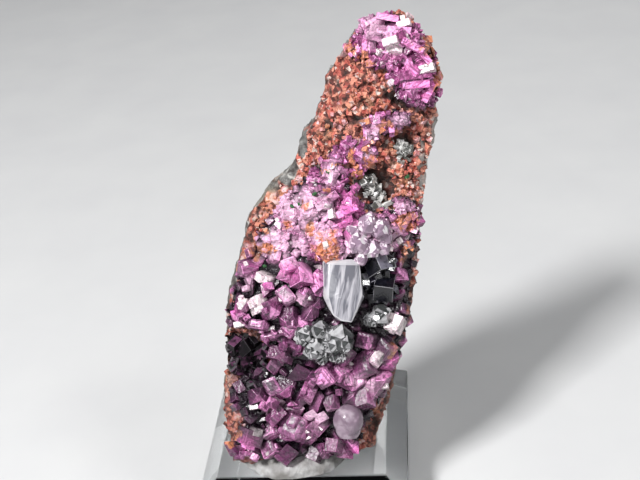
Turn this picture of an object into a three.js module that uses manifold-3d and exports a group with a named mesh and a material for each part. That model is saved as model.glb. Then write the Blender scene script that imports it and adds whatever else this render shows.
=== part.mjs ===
// Cobaltoan calcite on a clear stand.
//
// A slab of brown limestone, about 63 mm tall and 25 mm wide, with a crust of pink rhombic
// crystals over its front. Clear, grey and dark crystals sit in the crust. The slab leans back and
// to the right in a pad of white mineral tack on a square block of clear acrylic.
//
// Millimetres, +Z up. The origin is the middle of the block's underside, and +Y is away from the
// viewer. The stone has a frame of its own: across is its X, depth its Y (the front is -Y) and
// height along the slab its Z.

import * as THREE from 'three';
import { ConvexGeometry } from 'three/addons/geometries/ConvexGeometry.js';
import { ParametricGeometry } from 'three/addons/geometries/ParametricGeometry.js';
import { mergeVertices } from 'three/addons/utils/BufferGeometryUtils.js';
import Module from 'manifold-3d';

const wasm = await Module();
wasm.setup();

// The clear block
const blockWidth = 30;
const blockHeight = 10;
const blockBevel = 3;

// How the stone sits on the block
const stoneTurn = 7;
const leanBack = 10;
const leanRight = 17;
const stoneSeat = [0.1, -9.1, blockHeight + 1.6];
const footClearance = 1.2;

// The pad of mineral tack
const tackCentre = [-1.1, -4.9];
const tackRadius = 7.9;
const tackHeight = 3.2;

// Room left between pieces that touch
const fit = 0.34;

// Half width outline of the slab: height, left edge, right edge, depth of the back
const slabOutline = [
  [-7, -9.0, 8.0, 10.0],
  [0, -10.4, 8.8, 11.0],
  [2, -11.2, 9.7, 11.4],
  [5, -11.8, 10.0, 12.2],
  [9, -12.4, 10.1, 13.0],
  [14, -13.6, 10.4, 13.6],
  [20, -14.0, 10.3, 14.0],
  [25, -13.9, 10.3, 13.8],
  [30, -13.6, 9.9, 13.2],
  [34, -13.1, 9.2, 12.6],
  [37.5, -11.2, 8.7, 12.0],
  [41.5, -9.2, 8.0, 11.2],
  [46, -8.2, 7.5, 10.2],
  [49, -7.0, 7.4, 9.4],
  [52.3, -7.8, 7.2, 8.6],
  [56, -6.3, 6.8, 7.4],
  [59, -4.8, 5.3, 6.2],
  [61.5, -3.4, 3.3, 4.6],
  [62.6, -1.5, 1.8, 3.0],
];
const slabTop = 62.6;
const slabFoot = -7;
const slabGrid = [22, 29];
const crustGrid = [16, 20];
const slabRoughness = 0.45;

// Hollows in the front of the slab: across, height, half width, half height, depth
const hollows = [
  [-10.2, 14.0, 4.2, 3.2, 3.2],
  [1.6, 41.0, 2.8, 2.8, 1.5],
  [3.8, 47.4, 2.6, 1.8, 1.5],
  [5.6, 29.2, 3.2, 3.2, 1.2],
];

// Swellings on the front of the slab: across, height, half width, half height, how far it stands out
const swellings = [
  [-1.5, 36.5, 6.0, 5.0, 1.3],
  [-2.5, 52.5, 4.0, 4.5, 1.0],
  [5.0, 43.8, 2.4, 3.0, 0.7],
  [-5.2, 45.8, 2.6, 3.0, 0.7],
  [-9.8, 5.2, 2.4, 4.6, 1.3],
  [7.4, 6.4, 2.6, 4.4, 1.0],
  [8.4, 22.0, 1.6, 6.0, 0.8],
];

// Edges of the two large areas of pink crust, seen from the front
const mainCrustEdge = [
  [-9.0, -1.6], [-2.0, -3.2], [4.0, -0.8], [7.2, 2.6], [7.6, 8.0], [9.2, 12.0], [9.9, 17.0],
  [9.8, 24.0], [9.0, 30.0], [8.6, 36.0], [7.9, 38.6], [5.0, 39.4], [3.4, 38.2], [-0.4, 39.4],
  [-3.0, 43.0], [-6.0, 42.6], [-8.3, 39.4], [-10.2, 36.0], [-11.8, 32.0], [-12.8, 27.8],
  [-13.8, 23.4], [-14.2, 19.6], [-12.6, 17.6], [-8.8, 17.6], [-6.6, 15.0], [-7.0, 11.6],
  [-10.6, 10.6], [-11.8, 8.8], [-10.6, 6.6], [-9.0, 5.0], [-9.6, 1.6],
];
const tipCrustEdge = [
  [-4.8, 59.6], [-3.6, 61.8], [0.6, 62.8], [4.0, 60.4], [6.0, 57.0], [6.8, 53.6], [4.2, 51.8],
  [1.2, 53.2], [-0.7, 56.0], [-3.9, 56.4], [-5.8, 56.8],
];
const mainCrustThickness = 1.5;
const tipCrustThickness = 1.0;

// Larger crystals of the main crust: across, height, edge length
const mainCrystals = [
  [-10, 0, 2.1], [-8.5, 0, 2.4], [-6.5, 0.5, 2.3], [-5, 1.5, 2.3], [-2.4, 0.8, 2.7], [1.5, 1.5, 2],
  [-0.5, 2.5, 2.3], [2.5, 2.5, 2.3], [4.5, 4.2, 4.2],
  [-8, 3, 3.0], [-5.2, 4, 2.3], [-3, 4.3, 2], [-2, 5.4, 3.6], [0.7, 5.6, 3.4], [-5, 6.5, 3],
  [-3.2, 8, 2.8], [0.3, 8.7, 3.7], [2.1, 10, 2], [-2.2, 10, 2.2],
  [-8, 9.2, 2.2], [-6, 8.2, 3], [-6.2, 10.6, 2.5], [-4.6, 11, 2.8], [-2.5, 13, 3.5],
  [-1.3, 11, 2.8], [0.6, 14.2, 3], [2.6, 14.8, 2.5], [2.5, 17, 2.5], [5.2, 16.4, 3],
  [3.6, 12.8, 3.4], [5.2, 13.6, 2.2], [7.7, 14, 3.4], [4.5, 11.3, 2.2], [6.5, 11.5, 2.8],
  [8.4, 17.7, 2.5], [7.6, 19.4, 2.5], [6.5, 18.2, 2.6], [5, 20, 2.6],
  [-12.5, 26.5, 2.4], [-11.5, 24.5, 2.3], [-10, 26.2, 2.1], [-5.7, 27.7, 2.8], [-7.3, 27, 2.1],
  [-9, 25, 2.3], [-7, 24.5, 2.3], [-4.4, 25, 2.4], [-12.5, 22, 2.4], [-10.3, 22.4, 2.4],
  [-8.5, 22.4, 2.9], [-6, 21.5, 2.7], [-12, 19.8, 2.7], [-7.6, 18.4, 2.7], [-5.3, 20, 2.3],
  [-6, 15.6, 2.7], [-5, 17.5, 2.9],
  [-9.6, 33.5, 1.8], [-6.2, 32.3, 2.1], [-8.2, 35.7, 2.4], [-6.4, 37.2, 2.4], [-4.2, 38.4, 2.6],
  [-1.6, 38, 3], [-2.5, 35.4, 2.4], [-9, 30.7, 2.1], [-7.4, 28.8, 2], [5.9, 36.2, 2.3],
  [7.4, 34.0, 1.8], [-4.6, 41.2, 2],
];

// Larger crystals of the crust at the tip
const tipCrystals = [
  [-3.8, 59.8, 1.8], [-2.4, 61, 2.6], [-0.8, 59.8, 2.8], [0.4, 61.8, 1.9], [1.3, 60.6, 1.9],
  [2.4, 60, 1.9], [4, 57.4, 1.8], [2.8, 56.2, 3], [0.9, 58, 2.4], [3, 59, 1.8], [5.2, 55.2, 1.9],
  [2.9, 54.2, 2.3], [4.2, 53.6, 1.8], [-4.4, 58, 1.8], [-2.9, 58.4, 1.8], [-1, 57.6, 1.9],
  [5.6, 53.2, 1.6], [1.2, 55.2, 1.8],
];

// Small patches of pink crystals between the two crusts
const upperPatch = [[-0.9, 49.4, 2.6], [0.8, 50.0, 2.1], [-2.4, 49.2, 1.9], [1.9, 50.6, 1.7]];
const centrePatch = [[-1.6, 45.0, 2.0], [0.2, 45.0, 1.7], [-0.7, 46.1, 1.6], [-0.4, 44.0, 1.5]];
const leftPatch = [[-3.6, 46.2, 1.9], [-4.6, 45.0, 1.8], [-5.4, 43.9, 2.0], [-3.4, 44.8, 1.6]];

// The clear crystal's corners: across, depth, height
const largeClearCorners = [
  [-3.1, -3.6, 28.5], [1.8, -3.9, 28.9], [3.4, -4.0, 25.8], [2.3, -3.6, 22.1], [-1.0, -3.5, 22.3],
  [-2.1, -6.2, 27.4], [1.0, -6.6, 27.6], [1.6, -6.4, 23.8], [-0.7, -6.0, 23.9],
  [-2.8, -0.4, 28.0], [2.0, -0.4, 28.2], [3.0, -0.4, 25.4], [1.4, -0.4, 22.6], [-1.4, -0.4, 23.0],
];

// Lumps of the other crystal groups: across, depth, height, radius
const lowerClearLumps = [
  [-3.6, -3.6, 19.4, 1.7], [-2.0, -4.0, 21.1, 1.6], [0.8, -4.2, 19.8, 2.5], [-2.1, -4.4, 17.9, 1.7],
  [-1.2, -3.8, 16.3, 1.5], [1.4, -3.8, 17.4, 1.6],
];
const rightClearLumps = [
  [5.4, -3.4, 24.2, 1.9], [4.0, -3.2, 22.9, 1.7], [3.9, -3.0, 20.9, 1.3],
];
const palePairLumps = [
  [1.5, -3.6, 36.3, 1.7], [3.5, -3.4, 36.5, 1.5], [0.6, -3.7, 33.7, 1.8], [2.6, -3.4, 33.2, 1.5],
  [1.9, -3.2, 35.0, 1.4],
];
const roundClearLumps = [[5.2, -3.4, 7.8, 2.0], [5.7, -3.0, 6.0, 1.6]];
const greyHollowLumps = [[1.0, -0.6, 41.2, 1.5], [2.7, -0.5, 39.9, 1.3], [1.2, -0.5, 42.6, 1.1]];
const greyRimLumps = [[3.9, -0.6, 46.7, 1.1], [5.0, -0.5, 46.9, 0.9], [3.0, -0.4, 47.2, 0.9]];

// Blocks of the two dark crystal groups: across, depth, height, edge length
const darkRightBlocks = [
  [4.4, -1.9, 31.2, 2.6], [5.6, -2.1, 28.6, 2.6], [6.4, -1.9, 31.2, 2.4], [7.4, -1.6, 28.4, 2.2],
  [5.9, -1.7, 26.6, 2.2], [5.2, -1.7, 30.2, 2.4],
];
const darkLeftBlocks = [
  [-12.2, 1.0, 15.0, 2.2], [-10.6, 1.4, 14.4, 2.6], [-8.8, 0.8, 15.2, 2.2], [-10.8, 1.0, 12.2, 2.2],
  [-8.6, 0.9, 12.6, 2.2],
];

const radians = THREE.MathUtils.degToRad;
const stonePlace = new THREE.Group();
stonePlace.rotation.set(radians(-leanBack), radians(leanRight), radians(stoneTurn), 'ZXY');
stonePlace.position.set(...stoneSeat);
stonePlace.updateMatrix();

// A repeatable row of numbers between 0 and 1, so that every build places the same crystals
function makeDice(seed) {
  let state = seed;
  return () => {
    state = (state * 48271) % 2147483647;
    return state / 2147483647;
  };
}

// How much of a hollow or swelling reaches a place, from 1 in its middle to 0 far away
function reach(across, height, [x, z, halfWidth, halfHeight]) {
  const far = ((across - x) / halfWidth) ** 2 + ((height - z) / halfHeight) ** 2;
  return Math.exp(-far * far * 0.9);
}

// The outline's left edge, right edge and back depth at a height
function outlineAt(height) {
  let row = 1;
  while (row < slabOutline.length - 1 && slabOutline[row][0] < height) row += 1;
  const [low, high] = [slabOutline[row - 1], slabOutline[row]];
  const share = THREE.MathUtils.clamp((height - low[0]) / (high[0] - low[0]), 0, 1);
  return [1, 2, 3].map((column) => THREE.MathUtils.lerp(low[column], high[column], share));
}

// Depth of the slab's front at a place: gently crowned, with its left rim falling back
function frontDepth(across, height) {
  const [left, right] = outlineAt(height);
  const middle = (left + right) / 2;
  const side = (across - middle) / ((right - left) / 2);
  let depth = -0.9 + 1.3 * side ** 4;
  if (side < -0.45) depth += 3.0 * (-0.45 - side) * THREE.MathUtils.smoothstep(height, 16, 30);
  for (const hollow of hollows) depth += hollow[4] * reach(across, height, hollow);
  for (const swelling of swellings) depth -= swelling[4] * reach(across, height, swelling);
  depth += 0.3 * Math.sin(across * 1.1 + height * 0.35) * Math.cos(height * 0.85 - across * 0.3);
  return depth;
}

// How far the broken rock stands out at a place on its surface, from -1 to 1
function broken(round, rise) {
  const column = Math.round((round % 1) * slabGrid[0]);
  const row = Math.round(rise * slabGrid[1]);
  const mixed = Math.sin(column * 12.9898 + row * 78.233) * 43758.5453;
  return 2 * (mixed - Math.floor(mixed)) - 1;
}

// Distance of a place from an edge line, positive inside the area and negative outside
function insideBy(across, height, edge) {
  let inside = false;
  let nearest = Infinity;
  const place = new THREE.Vector3(across, height, 0);
  const line = new THREE.Line3();
  const foot = new THREE.Vector3();
  edge.forEach(([x1, z1], index) => {
    const [x0, z0] = edge[(index + edge.length - 1) % edge.length];
    if (z1 > height !== z0 > height && across < ((x0 - x1) * (height - z1)) / (z0 - z1) + x1) {
      inside = !inside;
    }
    line.set(new THREE.Vector3(x0, z0, 0), new THREE.Vector3(x1, z1, 0));
    line.closestPointToPoint(place, true, foot);
    nearest = Math.min(nearest, foot.distanceTo(place));
  });
  return inside ? nearest : -nearest;
}

// Turns a closed geometry into a solid, with its faces pointing out
function solid(geometry) {
  const bare = geometry.index ? geometry.toNonIndexed() : geometry;
  for (const name of Object.keys(bare.attributes)) if (name !== 'position') bare.deleteAttribute(name);
  const merged = mergeVertices(bare, 1e-4);
  const corners = merged.index.array;
  const kept = [];
  for (let i = 0; i < corners.length; i += 3) {
    const [a, b, c] = [corners[i], corners[i + 1], corners[i + 2]];
    if (a !== b && b !== c && c !== a) kept.push(a, b, c);
  }
  const mesh = new wasm.Mesh({
    numProp: 3,
    vertProperties: new Float32Array(merged.attributes.position.array),
    triVerts: new Uint32Array(kept),
  });
  return new wasm.Manifold(mesh);
}

function joined(solids) {
  return solids.reduce((all, next) => all.add(next));
}

function cutBy(body, others) {
  return others.reduce((left, other) => left.subtract(other), body);
}

// The largest body of a solid that a cut has parted
function largest(body) {
  return body.decompose().sort((one, other) => other.volume() - one.volume())[0];
}

function geometryOf(body) {
  const mesh = body.getMesh();
  const geometry = new THREE.BufferGeometry();
  geometry.setAttribute('position', new THREE.BufferAttribute(new Float32Array(mesh.vertProperties), 3));
  geometry.setIndex(new THREE.BufferAttribute(new Uint32Array(mesh.triVerts), 1));
  return geometry;
}

// The slab as a loft: half of each round runs over the front, half round the back.
// raised gives how far the front stands out at a place, and spread grows the whole slab.
// rough gives the slab itself its broken faces.
function loft(raised, spread, [slices, stacks], rough) {
  const geometry = new ParametricGeometry((round, rise, target) => {
    const height = THREE.MathUtils.lerp(slabFoot, slabTop, rise);
    const [left, right, back] = outlineAt(height);
    const middle = (left + right) / 2;
    const ends = rise < 1e-6 || rise > 1 - 1e-6;
    const crag = rough * slabRoughness * broken(round, rise);
    const half = ends ? 0 : (right - left) / 2 + spread + 0.4 * crag;
    if (round <= 0.5) {
      const across = middle + half * (4 * round - 1);
      const depth = frontDepth(middle + (half - spread) * (4 * round - 1), height) + 0.5 * crag;
      target.set(across, ends ? 1 : depth - spread - raised(across, height), height);
    } else {
      const turn = 2 * Math.PI * (round - 0.5);
      const across = middle + half * Math.cos(turn);
      const rim = frontDepth(middle + Math.sign(Math.cos(turn)) * (half - spread), height) + 0.5 * crag;
      const edge = middle + Math.sign(Math.cos(turn)) * half;
      const rimDepth = rim - spread - raised(edge, height);
      const bulge = Math.sin(turn) ** 0.65;
      const wave = 0.5 * Math.sin(across * 0.55 + height * 0.28) * Math.sin(height * 0.42 + 1);
      const depth = THREE.MathUtils.lerp(rimDepth, back * 0.82 + wave + crag + spread, bulge);
      target.set(across, ends ? 1 : depth, height);
    }
  }, slices, stacks);
  return solid(geometry);
}

// A block far larger than the stone, which takes away all below a level over the clear block
function below(level) {
  const size = 120;
  const box = new THREE.BoxGeometry(size, size, size);
  box.translate(0, 0, blockHeight + level - size / 2);
  box.applyMatrix4(stonePlace.matrix.clone().invert());
  return solid(box);
}

// A calcite rhombohedron: a cube stood on its corner and pressed flat along that diagonal
const diagonalUp = new THREE.Quaternion().setFromUnitVectors(
  new THREE.Vector3(1, 1, 1).normalize(),
  new THREE.Vector3(0, 0, 1),
);
function rhomb(place, edge, flatness, aim, spin, spread) {
  const size = edge + 2 * spread;
  const geometry = new THREE.BoxGeometry(size, size, size);
  geometry.applyQuaternion(diagonalUp);
  geometry.scale(1, 1, flatness);
  geometry.rotateZ(spin);
  geometry.applyQuaternion(new THREE.Quaternion().setFromUnitVectors(new THREE.Vector3(0, 0, 1), aim));
  geometry.translate(...place);
  return solid(geometry);
}

// The way a crystal points: out of the slab, leaning by some tilt in some direction
function aimFrom(tilt, direction) {
  return new THREE.Vector3(
    Math.sin(tilt) * Math.cos(direction),
    -Math.cos(tilt),
    Math.sin(tilt) * Math.sin(direction),
  );
}

// Fills an area with small crystals, clear of those that are already placed
function withFill(placed, edge, count, sizes, dice) {
  const all = [...placed];
  const acrosses = edge.map((corner) => corner[0]);
  const heights = edge.map((corner) => corner[1]);
  const [left, right] = [Math.min(...acrosses), Math.max(...acrosses)];
  const [low, high] = [Math.min(...heights), Math.max(...heights)];
  for (let tries = 0; tries < count; tries += 1) {
    const across = left + (right - left) * dice();
    const height = low + (high - low) * dice();
    const size = sizes[0] + (sizes[1] - sizes[0]) * dice();
    const clear = all.every(
      ([x, z, other]) => Math.hypot(x - across, z - height) > 0.42 * (size + other),
    );
    if (clear && insideBy(across, height, edge) > 0.5) all.push([across, height, size]);
  }
  return all;
}

// Crystals that stand on the front of the slab, each turned by the dice
function standingCrystals(list, lift, dice, spread) {
  return list.map(([across, height, edge]) => {
    const tilt = radians(12 + 46 * dice());
    const direction = 2 * Math.PI * dice();
    const spin = 2 * Math.PI * dice();
    const flatness = 0.74 + 0.2 * dice();
    const depth = frontDepth(across, height) - lift - 0.12 * edge * dice();
    return rhomb([across, depth, height], edge, flatness, aimFrom(tilt, direction), spin, spread);
  });
}

// A rounded crystal lump with flat faces
function lump([across, depth, height, radius], dice, spread) {
  const geometry = new THREE.IcosahedronGeometry(1.1 * radius + spread);
  geometry.rotateX(Math.PI * dice());
  geometry.rotateZ(Math.PI * dice());
  geometry.scale(1, 1, 1.12);
  geometry.translate(across, depth, height);
  return solid(geometry);
}

function lumps(list, seed, spread) {
  const dice = makeDice(seed);
  return joined(list.map((one) => lump(one, dice, spread)));
}

function blocks(list, seed, spread) {
  const dice = makeDice(seed);
  return joined(
    list.map(([across, depth, height, edge]) => {
      const aim = aimFrom(radians(10 + 40 * dice()), 2 * Math.PI * dice());
      return rhomb([across, depth, height], edge, 0.85, aim, Math.PI * dice(), spread);
    }),
  );
}

function hull(corners, spread) {
  const centre = new THREE.Vector3();
  const points = corners.map((corner) => new THREE.Vector3(...corner));
  points.forEach((point) => centre.addScaledVector(point, 1 / points.length));
  points.forEach((point) => {
    const out = point.clone().sub(centre);
    point.addScaledVector(out.normalize(), spread * 1.8);
  });
  return solid(new ConvexGeometry(points));
}

// A crust is a layer over an area of the slab, with crystals standing in it
function crust({ edge, thickness, crystals, lift, seed }, spread) {
  const layer = loft((across, height) => {
    const inside = insideBy(across, height, edge);
    return THREE.MathUtils.clamp(inside * 0.9, -1, 1) * thickness + (inside > 0 ? spread : 0);
  }, 0, crustGrid, 0);
  return joined([layer, ...standingCrystals(crystals, lift, makeDice(seed), spread)]);
}

function patch(list, seed, spread) {
  return joined(standingCrystals(list, 0.3, makeDice(seed), spread));
}

const mainCrust = {
  edge: mainCrustEdge,
  thickness: mainCrustThickness,
  crystals: withFill(mainCrystals, mainCrustEdge, 90, [2.1, 2.6], makeDice(11)),
  lift: 1.3,
  seed: 23,
};
const tipCrust = {
  edge: tipCrustEdge,
  thickness: tipCrustThickness,
  crystals: withFill(tipCrystals, tipCrustEdge, 30, [1.4, 1.7], makeDice(12)),
  lift: 0.7,
  seed: 29,
};

const ground = below(footClearance);
const level = () => 0;
const slab = cutBy(loft(level, 0, slabGrid, 1), [ground]);
const underFoot = below(footClearance - fit);
const slabRoom = cutBy(loft(level, fit, slabGrid, 1), [underFoot]);

// Groups in the order in which they give way: each is cut clear of the slab and of those before it
const groups = [
  ['large_clear_crystal', (spread) => hull(largeClearCorners, spread)],
  ['lower_clear_cluster', (spread) => lumps(lowerClearLumps, 31, spread)],
  ['right_clear_cluster', (spread) => lumps(rightClearLumps, 37, spread)],
  ['upper_pale_crystals', (spread) => lumps(palePairLumps, 41, spread)],
  ['round_clear_crystal', (spread) => lumps(roundClearLumps, 43, spread)],
  ['grey_hollow_crystals', (spread) => lumps(greyHollowLumps, 47, spread)],
  ['grey_rim_crystals', (spread) => lumps(greyRimLumps, 53, spread)],
  ['dark_crystals_right', (spread) => blocks(darkRightBlocks, 59, spread)],
  ['dark_crystals_left', (spread) => blocks(darkLeftBlocks, 61, spread)],
  ['pink_patch_upper', (spread) => patch(upperPatch, 67, spread)],
  ['pink_patch_centre', (spread) => patch(centrePatch, 71, spread)],
  ['pink_patch_left', (spread) => patch(leftPatch, 73, spread)],
  ['pink_crust_tip', (spread) => crust(tipCrust, spread)],
  ['pink_crust_main', (spread) => crust(mainCrust, spread)],
];

const stoneSolids = { limestone_slab: slab };
const taken = [slabRoom];
for (const [name, make] of groups) {
  stoneSolids[name] = largest(cutBy(make(0), [...taken, ground]));
  taken.push(make(fit));
}

// The pad of tack, pressed round the foot of the stone, with a thin sheet of it under the foot
function tackPad() {
  const profile = [
    [0, 0], [tackRadius, 0], [tackRadius + 0.3, 0.6], [tackRadius - 0.2, 1.4],
    [tackRadius - 1.4, 2.2], [tackRadius - 3, 2.8], [0, tackHeight],
  ];
  const points = profile.map(([out, up]) => new THREE.Vector2(out, up));
  const geometry = new THREE.LatheGeometry(points, 20);
  geometry.rotateX(Math.PI / 2);
  geometry.translate(tackCentre[0], tackCentre[1], blockHeight);
  const toWorld = stonePlace.matrix.toArray();
  const crustRoom = cutBy(crust(mainCrust, fit), [underFoot]);
  const room = [slabRoom, crustRoom].map((body) => body.transform(toWorld));
  return largest(cutBy(solid(geometry), room));
}

// The block: a square with a wide bevel round its top
function clearBlock() {
  const points = [];
  for (const [half, height] of [
    [blockWidth / 2, 0],
    [blockWidth / 2, blockHeight - blockBevel],
    [blockWidth / 2 - blockBevel, blockHeight],
  ]) {
    for (const x of [-half, half]) for (const y of [-half, half]) points.push(new THREE.Vector3(x, y, height));
  }
  return new ConvexGeometry(points);
}

const finishes = {
  limestone: { color: 0x8a5436, roughness: 0.9 },
  pink: { color: 0xc05a9c, roughness: 0.3 },
  clear: { color: 0xdfe3e4, roughness: 0.1, transparent: true, opacity: 0.6 },
  grey: { color: 0xa9aeb0, roughness: 0.25 },
  dark: { color: 0x2f3334, roughness: 0.25 },
  tack: { color: 0xe9e7e2, roughness: 0.7 },
  acrylic: { color: 0xe8f0f2, roughness: 0.05, transparent: true, opacity: 0.4 },
};

function finishOf(name) {
  if (name.startsWith('pink')) return finishes.pink;
  if (name.startsWith('dark')) return finishes.dark;
  if (name.startsWith('grey') || name.startsWith('upper')) return finishes.grey;
  if (name.startsWith('limestone')) return finishes.limestone;
  return finishes.clear;
}

function piece(name, geometry, finish) {
  const mesh = new THREE.Mesh(geometry, new THREE.MeshStandardMaterial({ metalness: 0, ...finish }));
  mesh.name = name;
  return mesh;
}

const specimen = new THREE.Group();
specimen.add(piece('acrylic_block', clearBlock(), finishes.acrylic));
specimen.add(piece('mineral_tack', geometryOf(tackPad()), finishes.tack));
for (const [name, body] of Object.entries(stoneSolids)) {
  stonePlace.add(piece(name, geometryOf(body), finishOf(name)));
}
specimen.add(stonePlace);

export default specimen;
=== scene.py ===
# %% [markdown]
# Cobaltoan calcite on a clear stand
#
# This lesson dresses a mineral specimen: a leaning slab of grey rock with a granular brown skin,
# crusts of pink rhombic crystals on its front, a few clear, grey and smoky crystals, a pad of
# white tack and a bevelled block of clear acrylic. The solids of the frame give every place and
# size. Each piece here is built round the solid that it stands for.

# %% Load the frame
import math

import bmesh
import bpy
from mathutils import Matrix, Vector, noise
from mathutils.bvhtree import BVHTree


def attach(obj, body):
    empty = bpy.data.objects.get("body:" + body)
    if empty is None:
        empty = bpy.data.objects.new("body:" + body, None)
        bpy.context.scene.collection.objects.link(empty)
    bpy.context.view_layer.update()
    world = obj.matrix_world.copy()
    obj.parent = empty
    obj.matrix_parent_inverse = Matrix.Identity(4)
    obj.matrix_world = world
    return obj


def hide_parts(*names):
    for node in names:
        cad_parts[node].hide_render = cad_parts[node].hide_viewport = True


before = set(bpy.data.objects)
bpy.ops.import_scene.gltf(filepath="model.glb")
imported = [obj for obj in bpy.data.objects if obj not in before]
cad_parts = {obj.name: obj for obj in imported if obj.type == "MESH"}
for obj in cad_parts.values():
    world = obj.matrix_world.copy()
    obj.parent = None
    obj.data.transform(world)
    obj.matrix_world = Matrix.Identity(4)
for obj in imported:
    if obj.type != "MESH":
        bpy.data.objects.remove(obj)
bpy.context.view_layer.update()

MM = 0.001

# %% [markdown]
# Small helpers
#
# Most shapes below are a bmesh that is cut, bevelled, turned into a mesh and poured into a larger
# one. Each of these steps has its short function here.

# %% Small helpers


def clamped(value):
    """The value, kept between 0 and 1."""
    return max(0, min(1, value))


def finished(source, name):
    """Turns a bmesh into a mesh and frees it."""
    mesh = bpy.data.meshes.new(name)
    source.to_mesh(mesh)
    source.free()
    return mesh


def pour(mesh, target):
    """Adds a mesh to a bmesh, removes it, and gives back the corners that it brought."""
    known = len(target.verts)
    target.from_mesh(mesh)
    bpy.data.meshes.remove(mesh)
    target.verts.ensure_lookup_table()
    return target.verts[known:]


def cut_by(solid, place, way):
    """Cuts a closed bmesh by a plane and closes the cut."""
    bmesh.ops.bisect_plane(
        solid, geom=solid.verts[:] + solid.edges[:] + solid.faces[:],
        plane_co=place, plane_no=way, clear_outer=True,
    )
    bmesh.ops.holes_fill(solid, edges=solid.edges)


def bevel_edges(solid, edges, width, segments=1):
    bmesh.ops.bevel(
        solid, geom=edges, offset=width, offset_type="OFFSET", segments=segments,
        profile=0.5, affect="EDGES", material=-1, clamp_overlap=True,
    )


def add_object(name, data):
    """An object for a mesh, a lamp or a camera, linked to the scene."""
    made = bpy.data.objects.new(name, data)
    bpy.context.scene.collection.objects.link(made)
    return made


# %% [markdown]
# The camera
#
# A viewpoint can be guessed or solved. Here it is solved from the square top of the clear block,
# which gives the lens, the tilt and a small roll. The block is turned a little in the view, so
# the camera looks along a heading that is turned by the same amount from the block's own depth.

# %% Camera
CAMERA_PLACE = Vector((18.8, -115.5, 109.6)) * MM
CAMERA_HEADING = math.radians(6.96)
CAMERA_PITCH = math.radians(30.4)
CAMERA_ROLL = math.radians(5.9)
LENS = 56.3
SENSOR_WIDTH = 36


def make_camera():
    """The camera, with its axes worked out from heading, pitch and roll."""
    turn = Matrix.Rotation(CAMERA_HEADING, 3, "Z")
    ahead = turn @ Vector((0, math.cos(CAMERA_PITCH), -math.sin(CAMERA_PITCH)))
    level_right = turn @ Vector((1, 0, 0))
    level_down = turn @ Vector((0, -math.sin(CAMERA_PITCH), -math.cos(CAMERA_PITCH)))
    right = level_right * math.cos(CAMERA_ROLL) + level_down * math.sin(CAMERA_ROLL)
    down = level_down * math.cos(CAMERA_ROLL) - level_right * math.sin(CAMERA_ROLL)
    data = bpy.data.cameras.new("camera")
    data.lens = LENS
    data.sensor_width = SENSOR_WIDTH
    data.clip_start = 5 * MM
    camera = add_object("camera", data)
    axes = Matrix((right, -down, -ahead)).transposed()
    camera.matrix_world = Matrix.Translation(CAMERA_PLACE) @ axes.to_4x4()
    bpy.context.scene.camera = camera
    return camera


camera = make_camera()
print("camera at", [round(v / MM) for v in camera.location], "mm, lens", LENS)

# %% [markdown]
# The stone's own frame
#
# The stone leans back and to the right on its block. It is much easier to place crystals on it
# upright, so all crystals are made in the stone's own millimetres, with across, depth and height
# along the slab, and one matrix carries the finished mesh to its place on the block.

# %% The stone's frame
BLOCK_HEIGHT = 10
STONE_SEAT = Vector((0.1, -9.1, BLOCK_HEIGHT + 1.6))
STONE_TURN = math.radians(7)
LEAN_BACK = math.radians(10)
LEAN_RIGHT = math.radians(17)
STONE = (
    Matrix.Scale(MM, 4)
    @ Matrix.Translation(STONE_SEAT)
    @ Matrix.Rotation(STONE_TURN, 4, "Z")
    @ Matrix.Rotation(-LEAN_BACK, 4, "X")
    @ Matrix.Rotation(LEAN_RIGHT, 4, "Y")
)
TO_STONE = STONE.inverted()


def stone_copy(node):
    """A merged copy of a solid of the frame, in the stone's own millimetres."""
    copy = bmesh.new()
    copy.from_mesh(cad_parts[node].data)
    bmesh.ops.transform(copy, matrix=TO_STONE, verts=copy.verts)
    bmesh.ops.remove_doubles(copy, verts=copy.verts, dist=0.001)
    return copy


slab_solid = stone_copy("limestone_slab")
slab_faces = BVHTree.FromBMesh(slab_solid)
print("slab solid:", len(slab_solid.faces), "faces, merged")

# %% [markdown]
# Finding the rock's surface
#
# A crystal has to stand on the rock, seen from any side. A ray sent into the slab from the front
# finds the depth of the rock at a place. The rays are kept in a table on a half millimetre grid,
# because thousands of corners ask for it.

# %% Depth of the rock's front
GRID = 0.5
RAY_START = -30
DEPTH_PAST_RIM = 1.5
depth_table = {}


def grid_depth(column, row):
    """Depth of the rock at a grid place, or a little behind the rim where there is none."""
    if (column, row) not in depth_table:
        start = Vector((column * GRID, RAY_START, row * GRID))
        hit = slab_faces.ray_cast(start, Vector((0, 1, 0)))[0]
        depth_table[column, row] = hit.y if hit else DEPTH_PAST_RIM
    return depth_table[column, row]


def rock_depth(across, height):
    """Depth of the rock's front, blended between the four grid places round a point."""
    column, row = math.floor(across / GRID), math.floor(height / GRID)
    u, v = across / GRID - column, height / GRID - row
    low = grid_depth(column, row) * (1 - u) + grid_depth(column + 1, row) * u
    high = grid_depth(column, row + 1) * (1 - u) + grid_depth(column + 1, row + 1) * u
    return low * (1 - v) + high * v


print("rock at mid height lies at depth", round(rock_depth(0, 30), 2), "mm")

# %% [markdown]
# Repeatable dice
#
# Nature looks random, but the solids and this scene have to agree on where each crystal stands.
# Both use the same small row of numbers, so the same seed gives the same crystals every time.

# %% Dice and areas


def make_dice(seed):
    """A function that gives the next number between 0 and 1 of a repeatable row."""
    state = [seed]

    def roll():
        state[0] = (state[0] * 48271) % 2147483647
        return state[0] / 2147483647

    return roll


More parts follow.
